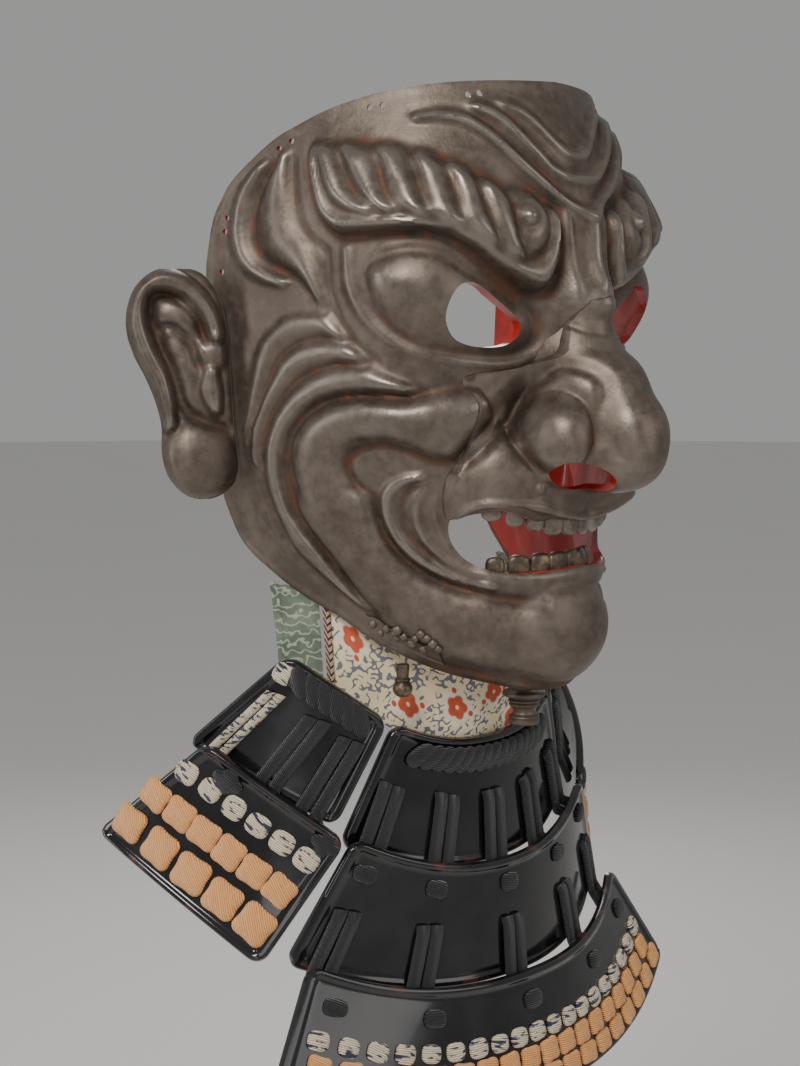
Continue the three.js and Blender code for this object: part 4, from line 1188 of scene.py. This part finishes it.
def spun(profile, at, ring=48, wave=None):
    """A closed turned body from (radius, height) pairs; wave(angle, k) may vary a ring."""
    turn = np.linspace(0, 2 * math.pi, ring + 1)[:-1]
    points = []
    for k, (r, z) in enumerate(profile):
        grown = r + (wave(turn, k) if wave else 0 * turn)
        points.append(np.stack([grown * np.cos(turn), grown * np.sin(turn), z + 0 * turn], -1))
    points = np.vstack(points) + np.asarray(at, float)
    last = (len(profile) - 1) * ring
    faces = quads(len(profile), ring, ring=True)
    return points, faces + [tuple(range(ring - 1, -1, -1)), tuple(range(last, last + ring))]


DRAIN = [(3, 0), (8.0, 0), (8.3, -0.5), (8.3, -1.3), (7.6, -1.9), (6.1, -2.3), (5.7, -2.8), (6.2, -3.3),
         (6.2, -3.8), (5.6, -4.3), (6.0, -4.8), (6.0, -5.3), (5.3, -5.9), (4.6, -6.8), (4.4, -7.8),
         (4.8, -8.7), (5.8, -9.3), (6.1, -9.9), (5.6, -10.5), (6.1, -11.1), (6.0, -12.2), (5.6, -12.6),
         (3.8, -12.6), (3.4, -12.0)]
PEG = [(1.2, 0.6), (2.4, 0.4), (2.6, -0.2), (2.5, -2), (2.3, -4.6), (2.9, -5.2), (3.0, -5.8), (2.6, -6.2),
       (3.1, -6.9), (3.7, -8.0), (3.9, -9.0), (3.7, -10.1), (3.0, -11.2), (2.0, -11.9), (0.8, -12.2)]


def beaded(turn, k):
    """Beads round the flange of the drain, which is rings 1 to 3 of its profile."""
    return 0.28 * np.abs(np.cos(14 * turn)) if k in (1, 2, 3) else 0 * turn


drain = spun(DRAIN, (0, -99, -142.2), 72, beaded)
make("sweat_drain", *drain, [iron], "russet_iron", ["sweat_drain"])


def on_face(side, deg, z, lift):
    """Points a little above the chased skin, with their outward and their sideways directions."""
    deg, z = np.broadcast_arrays(np.asarray(deg, float), np.asarray(z, float))
    high = face_relief(arc(deg), z)
    away = outward(side * deg, z)
    along = np.stack([-away[..., 1], away[..., 0], 0 * away[..., 0]], -1)
    return head(side * deg, z) + away * (high + lift)[..., None], away, along


# each button as angle, height and half its width
BUTTONS = np.array([(41.5, -119, 1.9), (44, -115.4, 1.8), (46.8, -119.6, 2.0), (49.5, -114.8, 2.0),
                    (53, -115.2, 1.9), (56, -113.8, 1.8), (44.2, -121.5, 1.6), (51, -118.6, 1.6),
                    (42.6, -116.9, 1.6), (45.4, -117.3, 1.5), (48.3, -117.3, 1.7), (50.9, -116.4, 1.4),
                    (54.6, -117.2, 1.5), (40.4, -120.9, 1.6)])
for word, side in (("right", -1), ("left", 1)):
    bodies = []
    for at, away, along, wide in zip(*on_face(side, BUTTONS[:, 0], BUTTONS[:, 1], 0.7), BUTTONS[:, 2]):
        bodies.append(pebble(at, along * wide, (0, 0, wide * 0.95), away * 1.35, 2.2, 8, 18, 0.05))
    deg = np.linspace(40.4, 57.2, 25)[:, None]
    low = table(*RIM_LOW, deg) - 0.2
    top = low + 6.5 + 1.2 * np.abs(np.sin((deg - 40) * 0.75))
    z = top + (low - top) * np.linspace(0, 1, 9)
    points, faces, which = shell(on_face(side, deg, z, 1.1)[0], on_face(side, deg, z, 0.05)[0])
    bodies.append((points, faces))
    make("peg_plate_" + word, *merge(bodies), [iron], "russet_iron", ["peg_plate_" + word])
    turned = spun(PEG, (side * 44.5, -77, -129.2), 40)
    make("cord_peg_" + word, *turned, [bronze], "bronze", ["cord_peg_" + word])
print("drain, two peg plates, two pegs")

# %% [markdown]
# ## Black lacquered lames
#
# Each lame is ruled between an upper and a lower curve, with a rounded rim along the edges that
# show and thick lacquer over everything. The lacquer is laid so thick that all edges are soft.
# The rim is worked out from each point's distance to the edges, so it runs round the corners in
# one go. On the rims the lacquer has rubbed through to a dark red ground here and there.

# %% lacquer
lacquer, tree, shader = material("black_lacquer", (0.004, 0.004, 0.005), 0.16,
                                 Coat_Weight=0.5, Coat_Roughness=0.06)
spot3 = node(tree, "TexCoord").outputs["Object"]
on_rim = ramp(tree, node(tree, "Attribute", {"attribute_name": "wear"}).outputs["Fac"], 0.5, 0.9)
rubbed = maths(tree, "MULTIPLY", on_rim, ramp(tree, noise(tree, spot3, 90, 4.0), 0.54, 0.68))
haze = noise(tree, spot3, 45, 4.0)
base = mixed(tree, ramp(tree, haze, 0.3, 0.7), (0.003, 0.003, 0.004), (0.011, 0.010, 0.012))
tree.links.new(mixed(tree, maths(tree, "MULTIPLY", rubbed, 0.75), base, (0.085, 0.022, 0.014)),
               shader.inputs["Base Color"])
tree.links.new(maths(tree, "MULTIPLY_ADD", rubbed, 0.2, ramp(tree, haze, 0.3, 0.75, 0.11, 0.22)),
               shader.inputs["Roughness"])
relief_map(tree, shader, noise(tree, spot3, 26, 2.0), 0.35)

# %% lames


def bowed(half, front, sag, z0, rise, power):
    """A curve round the neck from t = -1 to 1. Its middle is front ahead and z0 high; its ends
    are half to the side, sag further back and rise higher."""
    def curve(t):
        """The point of the curve at t."""
        return np.stack([half * t, -(front - sag * t * t), z0 + rise * np.abs(t)**power], -1)
    return curve


LAME1 = (bowed(44, 81, 9, -162, 10, 2.4), bowed(64.5, 83.5, 21, -212, 13.5, 2.4))
LAME2 = (bowed(66, 91, 18, -209.5, 17, 2.3), bowed(90, 94.5, 35, -256, 17, 2.6))
LAME3 = (bowed(88, 102.5, 31, -252.5, 16.5, 3), bowed(115, 111, 31, -300, 21, 2.6))
SIDE1 = [(-45.6, -71.3, -151.4), (-75, -46, -125), (-64.8, -61.3, -191.5), (-100, -15, -160)]
SIDE2 = [(-67.6, -71.2, -194.2), (-102, -30, -157), (-97, -54, -240), (-121, 14, -196)]


def ruled(curves):
    """The surface between two curves: u runs along them and v from the first to the second."""
    def surface(u, v):
        """The point of the surface at u and v, both from 0 to 1."""
        t, v = 2 * np.asarray(u, float) - 1, np.asarray(v, float)[..., None]
        return curves[0](t) * (1 - v) + curves[1](t) * v
    return surface


def patch(corners, side, puff):
    """A surface between four corners, given for the right side, that bulges by puff."""
    c = np.array(corners, float)
    n = np.cross(c[1] - c[0], c[2] - c[0])
    n *= (1 if n[0] < 0 else -1) / np.linalg.norm(n)

    def surface(u, v):
        """The point of the surface at u and v, both from 0 to 1."""
        u, v = np.asarray(u, float)[..., None], np.asarray(v, float)[..., None]
        p = (c[0] * (1 - u) + c[1] * u) * (1 - v) + (c[2] * (1 - u) + c[3] * u) * v
        p = p + n * puff * (1 - (2 * u - 1)**2)
        return p * (-side, 1, 1)
    return surface


def facing(surface, u, v):
    """Outward direction of a lame, away from the neck."""
    u, v = np.asarray(u, float), np.asarray(v, float)
    step = 0.004
    du = surface(np.minimum(u + step, 1), v) - surface(np.maximum(u - step, 0), v)
    dv = surface(u, np.minimum(v + step, 1)) - surface(u, np.maximum(v - step, 0))
    n = np.cross(du, dv)
    n /= np.linalg.norm(n, axis=-1, keepdims=True)
    p = surface(u, v) - (0, 20, 0)
    return n * np.sign(n[..., :1] * p[..., :1] + n[..., 1:2] * p[..., 1:2])


def rounded_rim(d, high, wide):
    """Cross section of a rim: round over the edge, then down to the plain lame."""
    top = high * np.sqrt(np.clip(1 - (1 - np.minimum(d / 1.2, 1))**2, 0, 1))
    return np.where(d < wide, top, high * np.exp(-((d - wide) / 0.9)**2))


LAME_THICK = 1.8


def crowded(count):
    """Numbers from 0 to 1 that stand closer together near both ends."""
    return (1 - np.cos(np.linspace(0, math.pi, count))) / 2


def lame(name, surface, cols, rows, low_rim):
    """One lacquered lame over a surface. low_rim raises a rim along its lower edge too."""
    u, v = np.meshgrid(crowded(cols) * 0.35 + np.linspace(0, 1, cols) * 0.65, crowded(rows))
    p = surface(u, v)
    step_down = np.linalg.norm(np.diff(p, axis=0), axis=-1)
    far_top = np.vstack([np.zeros((1, cols)), np.cumsum(step_down, axis=0)])
    far_low = far_top[-1:] - far_top
    step_on = np.linalg.norm(np.diff(p, axis=1), axis=-1)
    from_start = np.hstack([np.zeros((rows, 1)), np.cumsum(step_on, axis=1)])
    from_end = from_start[:, -1:] - from_start
    # round the corners: pull the square corner of side r back to its circle
    r = 6.0
    a = np.clip(r - np.minimum(from_start, from_end), 0, r)
    b = np.clip(r - np.minimum(far_top, far_low), 0, r)
    pull = 1 - np.where((a > 0) & (b > 0), np.maximum(a, b) / np.hypot(a, b + 1e-9), 1)
    u = u + a * pull / (from_start[:, -1:]) * np.where(u < 0.5, 1, -1)
    v = v + b * pull / (far_top[-1:]) * np.where(v < 0.5, 1, -1)
    p, n = surface(u, v), facing(surface, u, v)
    high = rounded_rim(far_top, 1.3, 2.4)
    high = np.maximum(high, rounded_rim(far_low, 1.3 if low_rim else 0.5, 2.2))
    for far in (from_start, from_end):
        high = np.maximum(high, rounded_rim(far, 0.9, 3.6))
    edge = np.minimum.reduce([far_top, far_low, from_start, from_end])
    soft_edge = np.sqrt(np.clip(1 - (1 - np.minimum(edge / 1.1, 1))**2, 0, 1))
    outer = p + n * ((high + LAME_THICK) * soft_edge - 1.2 - 0.6 * soft_edge)[..., None]
    inner = p - n * LAME_THICK
    rub = np.where(np.minimum(far_top, far_low) < 2.6, 1.0, 0.0)
    points, faces, which = shell(outer, inner)
    return make(name, points, faces, [lacquer], "black_lacquer", [name], None,
                np.concatenate([rub.ravel(), np.zeros(inner.shape[0] * cols)]), 60)


f1, f2, f3 = ruled(LAME1), ruled(LAME2), ruled(LAME3)
lame("lame1_centre", f1, 141, 58, False)
lame("lame2_centre", f2, 161, 58, False)
lame("lame3_centre", f3, 181, 61, True)
side1 = {side: patch(SIDE1, side, 3) for side in (-1, 1)}
side2 = {side: patch(SIDE2, side, 4) for side in (-1, 1)}
for word, side in (("right", -1), ("left", 1)):
    lame("lame1_" + word, side1[side], 71, 64, False)
    lame("lame2_" + word, side2[side], 81, 70, True)
print("seven lames")

# %% [markdown]
# ## Silk
#
# All silk here is flat braid. Its strands run in a herring-bone along a lace and straight across
# a knot, and in the mottled one a white and a dark blue yarn show by turns. Modelling every
# strand would cost millions of faces, so the body of each lace and knot is real shape and the
# strands are a bump, with painted shade between them and painted light on their crowns, read
# from `silk` coordinates in millimetres that each piece carries.

# %% silk finishes
braid, takes, gives = group("braid", {"Silk": None}, {"Height": "Float", "Shade": "Float", "Fleck": "Float"})
axes = node(braid, "SeparateXYZ", None, i0=takes["Silk"]).outputs
slant = maths(braid, "MULTIPLY_ADD", maths(braid, "ABSOLUTE", axes[0]), 0.75, axes[1])
wobble = noise(braid, takes["Silk"], 0.9, 2.0)
wavy = maths(braid, "MULTIPLY_ADD", wobble, 0.35, slant)
strand = maths(braid, "SINE", maths(braid, "MULTIPLY", wavy, 8.4))
strand = maths(braid, "MULTIPLY_ADD", strand, 0.5, 0.5)
fuzz = noise(braid, takes["Silk"], 5.0, 3.0)
raised = maths(braid, "MULTIPLY_ADD", fuzz, 0.3, maths(braid, "POWER", strand, 0.7))
braid.links.new(raised, gives["Height"])
# Shade: painted shade between the strands and painted light on their crowns, with a little random tone from
# the fuzz
shade = maths(braid, "MULTIPLY_ADD", strand, 0.55, maths(braid, "MULTIPLY", fuzz, 0.45))
braid.links.new(shade, gives["Shade"])
speck = node(braid, "Mapping", None, Vector=takes["Silk"], Scale=(0.42, 0.75, 3.0)).outputs[0]
braid.links.new(noise(braid, speck, 1.0, 2.0, 0.5), gives["Fleck"])


def silk(name, dark, light, fleck=None, level=0.54):
    """A silk finish from painted shade between the strands to painted light on them, with or without flecks.
    """
    made, tree, shader = material(name, light, 0.78, Sheen_Weight=0.25, Sheen_Roughness=0.4)
    outs = use(tree, braid, Silk=node(tree, "Attribute", {"attribute_name": "silk"}).outputs["Vector"])
    # the colour runs from painted shade between the strands to painted light on them
    colour = mixed(tree, ramp(tree, outs["Shade"], 0.15, 0.75), dark, light)
    if fleck:
        colour = mixed(tree, ramp(tree, outs["Fleck"], level, level + 0.05), colour, fleck)
    tree.links.new(colour, shader.inputs["Base Color"])
    relief_map(tree, shader, outs["Height"], 0.5)
    return made


black_silk = silk("black_silk", (0.005, 0.005, 0.006), (0.022, 0.022, 0.026))
peach_silk = silk("peach_silk", (0.80, 0.32, 0.095), (1.0, 0.50, 0.18))
mottled_silk = silk("mottled_silk", (0.58, 0.45, 0.31), (0.90, 0.80, 0.60), (0.030, 0.035, 0.09))


def soft_piece(name, bodies, finish, slot, stands_for=()):
    """Joins soft bodies, each points, faces and silk coordinates, into one piece."""
    points, faces = merge([(p, f) for p, f, _ in bodies])
    made = make(name, points, faces, [finish], slot, stands_for, smooth=60)
    carried = made.data.attributes.new("silk", "FLOAT_VECTOR", "POINT")
    carried.data.foreach_set("vector", np.vstack([s for _, _, s in bodies]).astype(np.float32).ravel())
    return made


def band(path, across, wide, thick, tone):
    """A flat braid along a path of points; across is the direction of its width at each."""
    path, across = np.asarray(path, float), np.asarray(across, float)
    along = np.gradient(path, axis=0)
    along /= np.linalg.norm(along, axis=-1, keepdims=True)
    up = np.cross(along, across)
    up /= np.linalg.norm(up, axis=-1, keepdims=True)
    ring = 14
    turn = np.linspace(0, 2 * math.pi, ring + 1)[:-1]
    a = np.sign(np.cos(turn)) * np.abs(np.cos(turn))**0.8 * wide / 2
    b = np.sign(np.sin(turn)) * np.abs(np.sin(turn))**0.8 * thick / 2
    points = path[:, None] + across[:, None] * a[:, None] + up[:, None] * b[:, None]
    walk = np.concatenate([[0], np.cumsum(np.linalg.norm(np.diff(path, axis=0), axis=-1))])
    coords = np.stack([a + 0 * walk[:, None], walk[:, None] + 0 * a, tone + 0 * walk[:, None] + 0 * a], -1)
    n, last = len(path), (len(path) - 1) * ring
    faces = quads(n, ring, ring=True)
    faces += [tuple(range(ring - 1, -1, -1)), tuple(range(last, last + ring))]
    return points.reshape(-1, 3), faces, coords.reshape(-1, 3)


def lace(f, u0, v0, g, u1, v1, wide=12.6):
    """Two braids side by side: out of the face of one lame, over its edge, behind the next."""
    start, end, foot = (np.array([u0]), np.array([v0])), (np.array([u1]), np.array([v1])), np.array([1.0])
    n0 = facing(f, *start)[0]
    a = f(*start)[0] + n0 * 0.3
    b = g(*end)[0] - facing(g, *end)[0] * 6.1
    knee = f(start[0], foot)[0] + facing(f, start[0], foot)[0] * 0.6
    across = np.cross(n0, b - a)
    across /= np.linalg.norm(across)
    bodies = []
    for k in (-1, 1):
        t = np.linspace(0, 1, 30)[:, None]
        # straight to the edge and straight on behind it, with the bend between rounded
        path = np.where(t < 0.5, a + (knee - a) * 2 * t, knee + (b - knee) * (2 * t - 1))
        path = np.vstack([path[:1], (path[:-2] + 2 * path[1:-1] + path[2:]) / 4, path[-1:]])
        path = path + n0 * 1.15 + across * k * wide * (0.225 + 0.04 * np.minimum(t * 1.5, 1))
        path[0] -= n0 * 1.0
        path[1] -= n0 * 0.3
        widths = np.repeat(across[None], len(path), axis=0)
        bodies.append(band(path, widths, wide * 0.43, 3.0, dice.random() * 9))
    return bodies


# %% laces
UPPER, LOWER = (-0.85, -0.43, 0, 0.43, 0.85), (-0.88, -0.5, 0, 0.5, 0.88)
for k, (upper_t, lower_t) in enumerate(zip(UPPER, LOWER)):
    u, w = (upper_t + 1) / 2, (lower_t + 1) / 2
    soft_piece(f"lace1_{k + 1}", lace(f1, u, 0.44, f2, w, 0.16), black_silk, "black_silk", [f"lace1_{k + 1}"])
    soft_piece(f"lace2_{k + 1}", lace(f2, w, 0.5, f3, w, 0.15), black_silk, "black_silk", [f"lace2_{k + 1}"])
for word, side in (("right", -1), ("left", 1)):
    for k, (a, b) in enumerate(((0.19, 0.14), (0.48, 0.36), (0.83, 0.66))):
        name = f"lace_{word}_{k + 1}"
        finish, slot, wide = (mottled_silk, "mottled_silk", 9) if k == 2 else (black_silk, "black_silk", 12.6)
        soft_piece(name, lace(side1[side], a, 0.3, side2[side], b, 0.13, wide), finish, slot, [name])
print("sixteen pairs of laces")

# %% [markdown]
# ## Knots
#
# Every lace comes out of the lame through small holes and is tied down there, which leaves a
# little cushion of silk. Most are round or four leaved and as large as a coin. They are placed
# by their spot on the lame, each with a small tilt and stretch of its own.

# %% knots


def knot(f, u, v, wide, tall, thick=1.7, lobes=-0.03, lean=1.5, power=2.4):
    """A cushion of silk on lame f. Its strands run straight, at the angle lean."""
    at_u, at_v = np.array([u]), np.array([v])
    n = facing(f, at_u, at_v)[0]
    on = f(np.minimum(at_u + 0.01, 1), at_v)[0] - f(np.maximum(at_u - 0.01, 0), at_v)[0]
    on -= n * np.dot(on, n)
    on /= np.linalg.norm(on)
    tilt = dice.uniform(-0.12, 0.12)
    down = np.cross(n, on)
    right, up = on * math.cos(tilt) + down * math.sin(tilt), down * math.cos(tilt) - on * math.sin(tilt)
    wide, tall = wide * dice.uniform(0.95, 1.05) / 2, tall * dice.uniform(0.95, 1.05) / 2
    at = f(at_u, at_v)[0] + n * 0.5
    points, faces = pebble(at, right * wide, up * tall, n * thick, power, 10, 32, lobes)
    rel = points - at
    a, b = rel @ right, rel @ up
    lean += dice.uniform(-0.15, 0.15)
    coords = np.stack([60 + 0 * a, (a * math.cos(lean) + b * math.sin(lean)) * 0.9,
                       dice.random() * 9 + (b * math.cos(lean) - a * math.sin(lean)) * 0.06], -1)
    return points, faces, coords


def rope_run(f, spots, v, long, thick):
    """Short cushions along lame f that lean and overlap, like the turns of a rope."""
    turns = []
    for k, u in enumerate(spots):
        at_u, at_v = np.array([u]), np.array([v])
        n = facing(f, at_u, at_v)[0]
        on = f(at_u + 0.01, at_v)[0] - f(at_u - 0.01, at_v)[0]
        on /= np.linalg.norm(on)
        down = np.cross(n, on)
        lean = 0.75 if down[2] > 0 else -0.75
        right, up = on * math.cos(lean) + down * math.sin(lean), down * math.cos(lean) - on * math.sin(lean)
        at = f(at_u, at_v)[0] + n * 1.2
        points, faces = pebble(at, right * long, up * thick, n * 2.2, 2.2, 8, 28)
        a, b = (points - at) @ right, (points - at) @ up
        turns.append((points, faces, np.stack([60 + 0 * a, a * 0.5 + b, k + 0 * a], -1)))
    return turns


dark, pale, warm = [], [], []
for t in LOWER:
    u = (t + 1) / 2
    dark.append(knot(f2, u, 0.21, 9.5, 7.2))
    dark.append(knot(f3, min(max(u, 0.05), 0.95), 0.24, 9.5, 7.2))
for k in range(19):
    u = 0.045 + 0.91 * k / 18
    pale.append(knot(f3, u, 0.50, 8.6, 7.6))
for k in range(18):
    warm.append(knot(f3, 0.055 + 0.89 * k / 17, 0.685, 10.4, 9.4, 2.0, -0.10))
    warm.append(knot(f3, 0.035 + 0.93 * k / 17, 0.875, 11.2, 9.4, 2.0, -0.10))
for side in (-1, 1):
    f, g = side2[side], side1[side]
    for k in range(6):
        u = 0.93 - 0.80 * k / 5
        pale.append(knot(f, u, 0.25, 10.0, 9.0))
        warm.append(knot(f, u + 0.015, 0.515, 13.2, 12.4, 2.1, -0.11, 1.1, 2.3))
        if k < 5:
            warm.append(knot(f, 0.92 - 0.78 * k / 4, 0.79, 15.2, 14.4, 2.3, -0.11, 0.9, 2.3))
    dark.append(knot(f, 0.74, 0.13, 12, 9, 1.9, 0.16))
    dark.append(knot(f, 0.10, 0.10, 9.5, 9, 1.9, 0.2))
    dark += rope_run(g, np.linspace(0.22, 0.76, 6), 0.13, 6.6, 3.6)
    pale.append(knot(g, 0.90, 0.14, 9, 8))
    dark.append(knot(g, 0.80, 0.13, 8, 7))
soft_piece("black_knots", dark, black_silk, "black_silk")
soft_piece("mottled_knots", pale, mottled_silk, "mottled_silk")
soft_piece("peach_knots", warm, peach_silk, "peach_silk")

soft_piece("rope_lace", rope_run(f1, np.linspace(0.14, 0.86, 15), 0.17, 6.4, 3.6), black_silk, "black_silk")
print(len(dark), "dark,", len(pale), "mottled and", len(warm), "peach knots")

# %% [markdown]
# ## Printed leather
#
# The neck band is white deerskin printed with a close pattern: small blue-grey commas all over
# and red flowers scattered among them. A painted pattern would be coarse from close by, so the
# commas are level lines of one noise, broken up by a second one, and the flowers are masks worked
# out on the fine grid of the band itself. The tabs beside it are green leather with pale lines.

# %% leather finishes
printed, tree, shader = material("printed_leather", (0.8, 0.74, 0.62), 0.72)
spot3 = node(tree, "TexCoord").outputs["Object"]
wander = node(tree, "TexNoise", None, Vector=spot3, Scale=380.0, Detail=0.0).outputs[0]
level = maths(tree, "ABSOLUTE", maths(tree, "SUBTRACT", wander, 0.5))
strokes = ramp(tree, level, 0.078, 0.098, 1.0, 0.0)
moved = node(tree, "VectorMath", {"operation": "ADD"}, i0=spot3, i1=(0.4, 0.2, 0.7)).outputs[0]
comma = maths(tree, "MULTIPLY", strokes, ramp(tree, noise(tree, moved, 420, 0.0), 0.43, 0.47))
aged = ramp(tree, noise(tree, spot3, 40, 4.0), 0.35, 0.7)
ground = mixed(tree, aged, (0.76, 0.63, 0.38), (0.90, 0.80, 0.56))
inked = mixed(tree, comma, ground, (0.15, 0.165, 0.20))
petals = node(tree, "Attribute", {"attribute_name": "petals"}).outputs["Fac"]
heart = node(tree, "Attribute", {"attribute_name": "heart"}).outputs["Fac"]
inked = mixed(tree, ramp(tree, petals, 0.05, 0.25), inked, (0.80, 0.70, 0.56))
flower = mixed(tree, noise(tree, spot3, 300, 2.0), (0.42, 0.028, 0.014), (0.66, 0.15, 0.05))
inked = mixed(tree, ramp(tree, petals, 0.45, 0.6), inked, flower)
inked = mixed(tree, ramp(tree, heart, 0.4, 0.6), inked, (0.80, 0.62, 0.36))
tree.links.new(inked, shader.inputs["Base Color"])
relief_map(tree, shader, noise(tree, spot3, 500, 4.0), 0.15)

green, tree, shader = material("green_leather", (0.13, 0.17, 0.12), 0.7)
spot3 = node(tree, "TexCoord").outputs["Object"]
narrowed = node(tree, "VectorMath", {"operation": "MULTIPLY"}, i0=spot3, i1=(0.9, 1.0, 1.0)).outputs[0]
lines = node(tree, "TexWave", {"wave_type": "RINGS", "rings_direction": "SPHERICAL"}, Vector=narrowed,
             Scale=90.0, Distortion=7.0, Detail=1.0, Detail_Scale=3.0).outputs[1]
worn = ramp(tree, noise(tree, spot3, 60, 4.0), 0.35, 0.65)
cloth = mixed(tree, worn, (0.085, 0.115, 0.085), (0.17, 0.21, 0.15))
drawn_on = maths(tree, "MULTIPLY", ramp(tree, lines, 0.80, 0.92), 0.65)
tree.links.new(mixed(tree, drawn_on, cloth, (0.42, 0.44, 0.33)), shader.inputs["Base Color"])
relief_map(tree, shader, noise(tree, spot3, 400, 4.0), 0.2)

piping, tree, shader = material("cord_piping", (0.7, 0.6, 0.45), 0.8)
carried = node(tree, "Attribute", {"attribute_name": "silk"}).outputs["Vector"]
thread = node(tree, "SeparateXYZ", None, i0=carried)
slant = maths(tree, "MULTIPLY_ADD", maths(tree, "ABSOLUTE", thread.outputs[0]), 1.3, thread.outputs[1])
stripe = maths(tree, "SINE", maths(tree, "MULTIPLY", slant, 2.3))
tree.links.new(mixed(tree, ramp(tree, stripe, -0.2, 0.2), (0.16, 0.05, 0.035), (0.66, 0.55, 0.38)),
               shader.inputs["Base Color"])
relief_map(tree, shader, maths(tree, "SINE", maths(tree, "MULTIPLY", slant, 4.6)), 0.3)

# %% neck band and tabs
# half width, front, sag and the power of its bend, middle height, rise and its power
BAND_TOP_EDGE = (54.5, 86, 42, 2.2, -133, 30, 1.8)
BAND_LOW_EDGE = (59, 77, 25, 2.0, -168, 29, 2.2)


def neck(u, v):
    """The surface of the neck band, like a ruled one but bent to a power of its own."""
    t, v = 2 * np.asarray(u, float) - 1, np.asarray(v, float)[..., None]
    edges = []
    for half, front, sag, bend, z0, rise, power in (BAND_TOP_EDGE, BAND_LOW_EDGE):
        a = np.abs(t)
        edges.append(np.stack([half * t, -(front - sag * a**bend), z0 + rise * a**power], -1))
    return edges[0] * (1 - v) + edges[1] * v


BAND_COLS, BAND_ROWS = 331, 79
u, v = np.meshgrid(np.linspace(0, 1, BAND_COLS), np.linspace(0, 1, BAND_ROWS))
skin, out = neck(u, v), facing(neck, u, v)
step_on, step_down = (np.linalg.norm(np.diff(skin, axis=axis), axis=-1) for axis in (1, 0))
across = np.hstack([np.zeros((BAND_ROWS, 1)), np.cumsum(step_on, axis=1)])
below = np.vstack([np.zeros((1, BAND_COLS)), np.cumsum(step_down, axis=0)])
petal, eye = np.zeros(u.shape), np.zeros(u.shape)
for k in range(7):
    at_u = 0.07 + 0.14 * k + dice.uniform(-0.015, 0.015)
    at_v = (0.34, 0.72, 0.5)[k % 3] + dice.uniform(-0.06, 0.06)
    i, j = int(at_v * (BAND_ROWS - 1)), int(at_u * (BAND_COLS - 1))
    dx, dy = across - across[i, j], below - below[i, j]
    far, turn = np.hypot(dx, dy), np.arctan2(dy, dx) + dice.random() * 6
    size = 5.8 * (0.74 + 0.26 * np.abs(np.cos(2.5 * turn)))
    petal = np.maximum(petal, np.clip(1.25 - far / size * 0.85, 0, 1) * (far < size * 1.4))
    eye = np.maximum(eye, np.clip(1.5 - far / 0.9, 0, 1))
    for _ in range(2):                       # two loose leaves beside each flower
        way = dice.random() * 6.28
        off = np.hypot(dx - 6.6 * math.cos(way), dy - 6.6 * math.sin(way))
        petal = np.maximum(petal, np.clip(1.3 - off / 1.5, 0, 1) * (off < 2.1))
wave = 0.25 * np.sin(across / 7) * np.sin(below / 11 + across / 19)
outer, inner = skin + out * wave[..., None], (skin - out * 1.4)[::3]
points, faces, which = shell(outer, inner)
made = make("neck_band", points, faces, [printed], "printed_leather", ["neck_band"], smooth=60)
blank = np.zeros(inner[..., 0].size)
for name, mask in (("petals", petal), ("heart", eye)):
    carried = made.data.attributes.new(name, "FLOAT", "POINT")
    carried.data.foreach_set("value", np.concatenate([mask.ravel(), blank]).astype(np.float32))

bodies = []
v = np.linspace(0.01, 0.99, 40)
for end, step in ((0.004, 0.004), (0.996, -0.004)):
    u = np.full(len(v), end)
    path = neck(u, v) + facing(neck, u, v) * 0.7
    on = neck(u + step, v) - neck(u, v)
    on /= np.linalg.norm(on, axis=-1, keepdims=True)
    bodies.append(band(path, on, 3.6, 2.6, 0.0))
soft_piece("band_piping", bodies, piping, "cord_piping")

TAB = [(-56, -42.5, -104), (-66, -26, -100), (-60.4, -50.5, -138), (-70.5, -36, -131)]
for word, side in (("right", -1), ("left", 1)):
    f = patch(TAB, side, 0.6)
    u, v = np.meshgrid(np.linspace(0, 1, 55), np.linspace(0, 1, 91))
    skin, n = f(u, v), facing(f, u, v)
    roll = 1.1 * np.exp(-((v - 0.06) / 0.05)**2) + 0.35 * np.sin(u * 5 + v * 3) * np.sin(v * 7)
    roll += 0.7 * np.exp(-((u - 0.86) / 0.05)**2)
    points, faces, which = shell(skin + n * roll[..., None], (skin - n * 1.6)[::3])
    make("leather_tab_" + word, points, faces, [green], "green_leather", ["leather_tab_" + word], smooth=50)
print("band, piping and two tabs")
# %% [markdown]
# ## Measuring up
#
# The imported box and the finished box are printed side by side.

# %% size
made_box = [list(corner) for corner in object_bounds()]
size = {"before": [[round(float(v), 5) for v in corner] for corner in CAD_BOX],
        "after": [[round(float(v), 5) for v in corner] for corner in made_box]}
print(size)
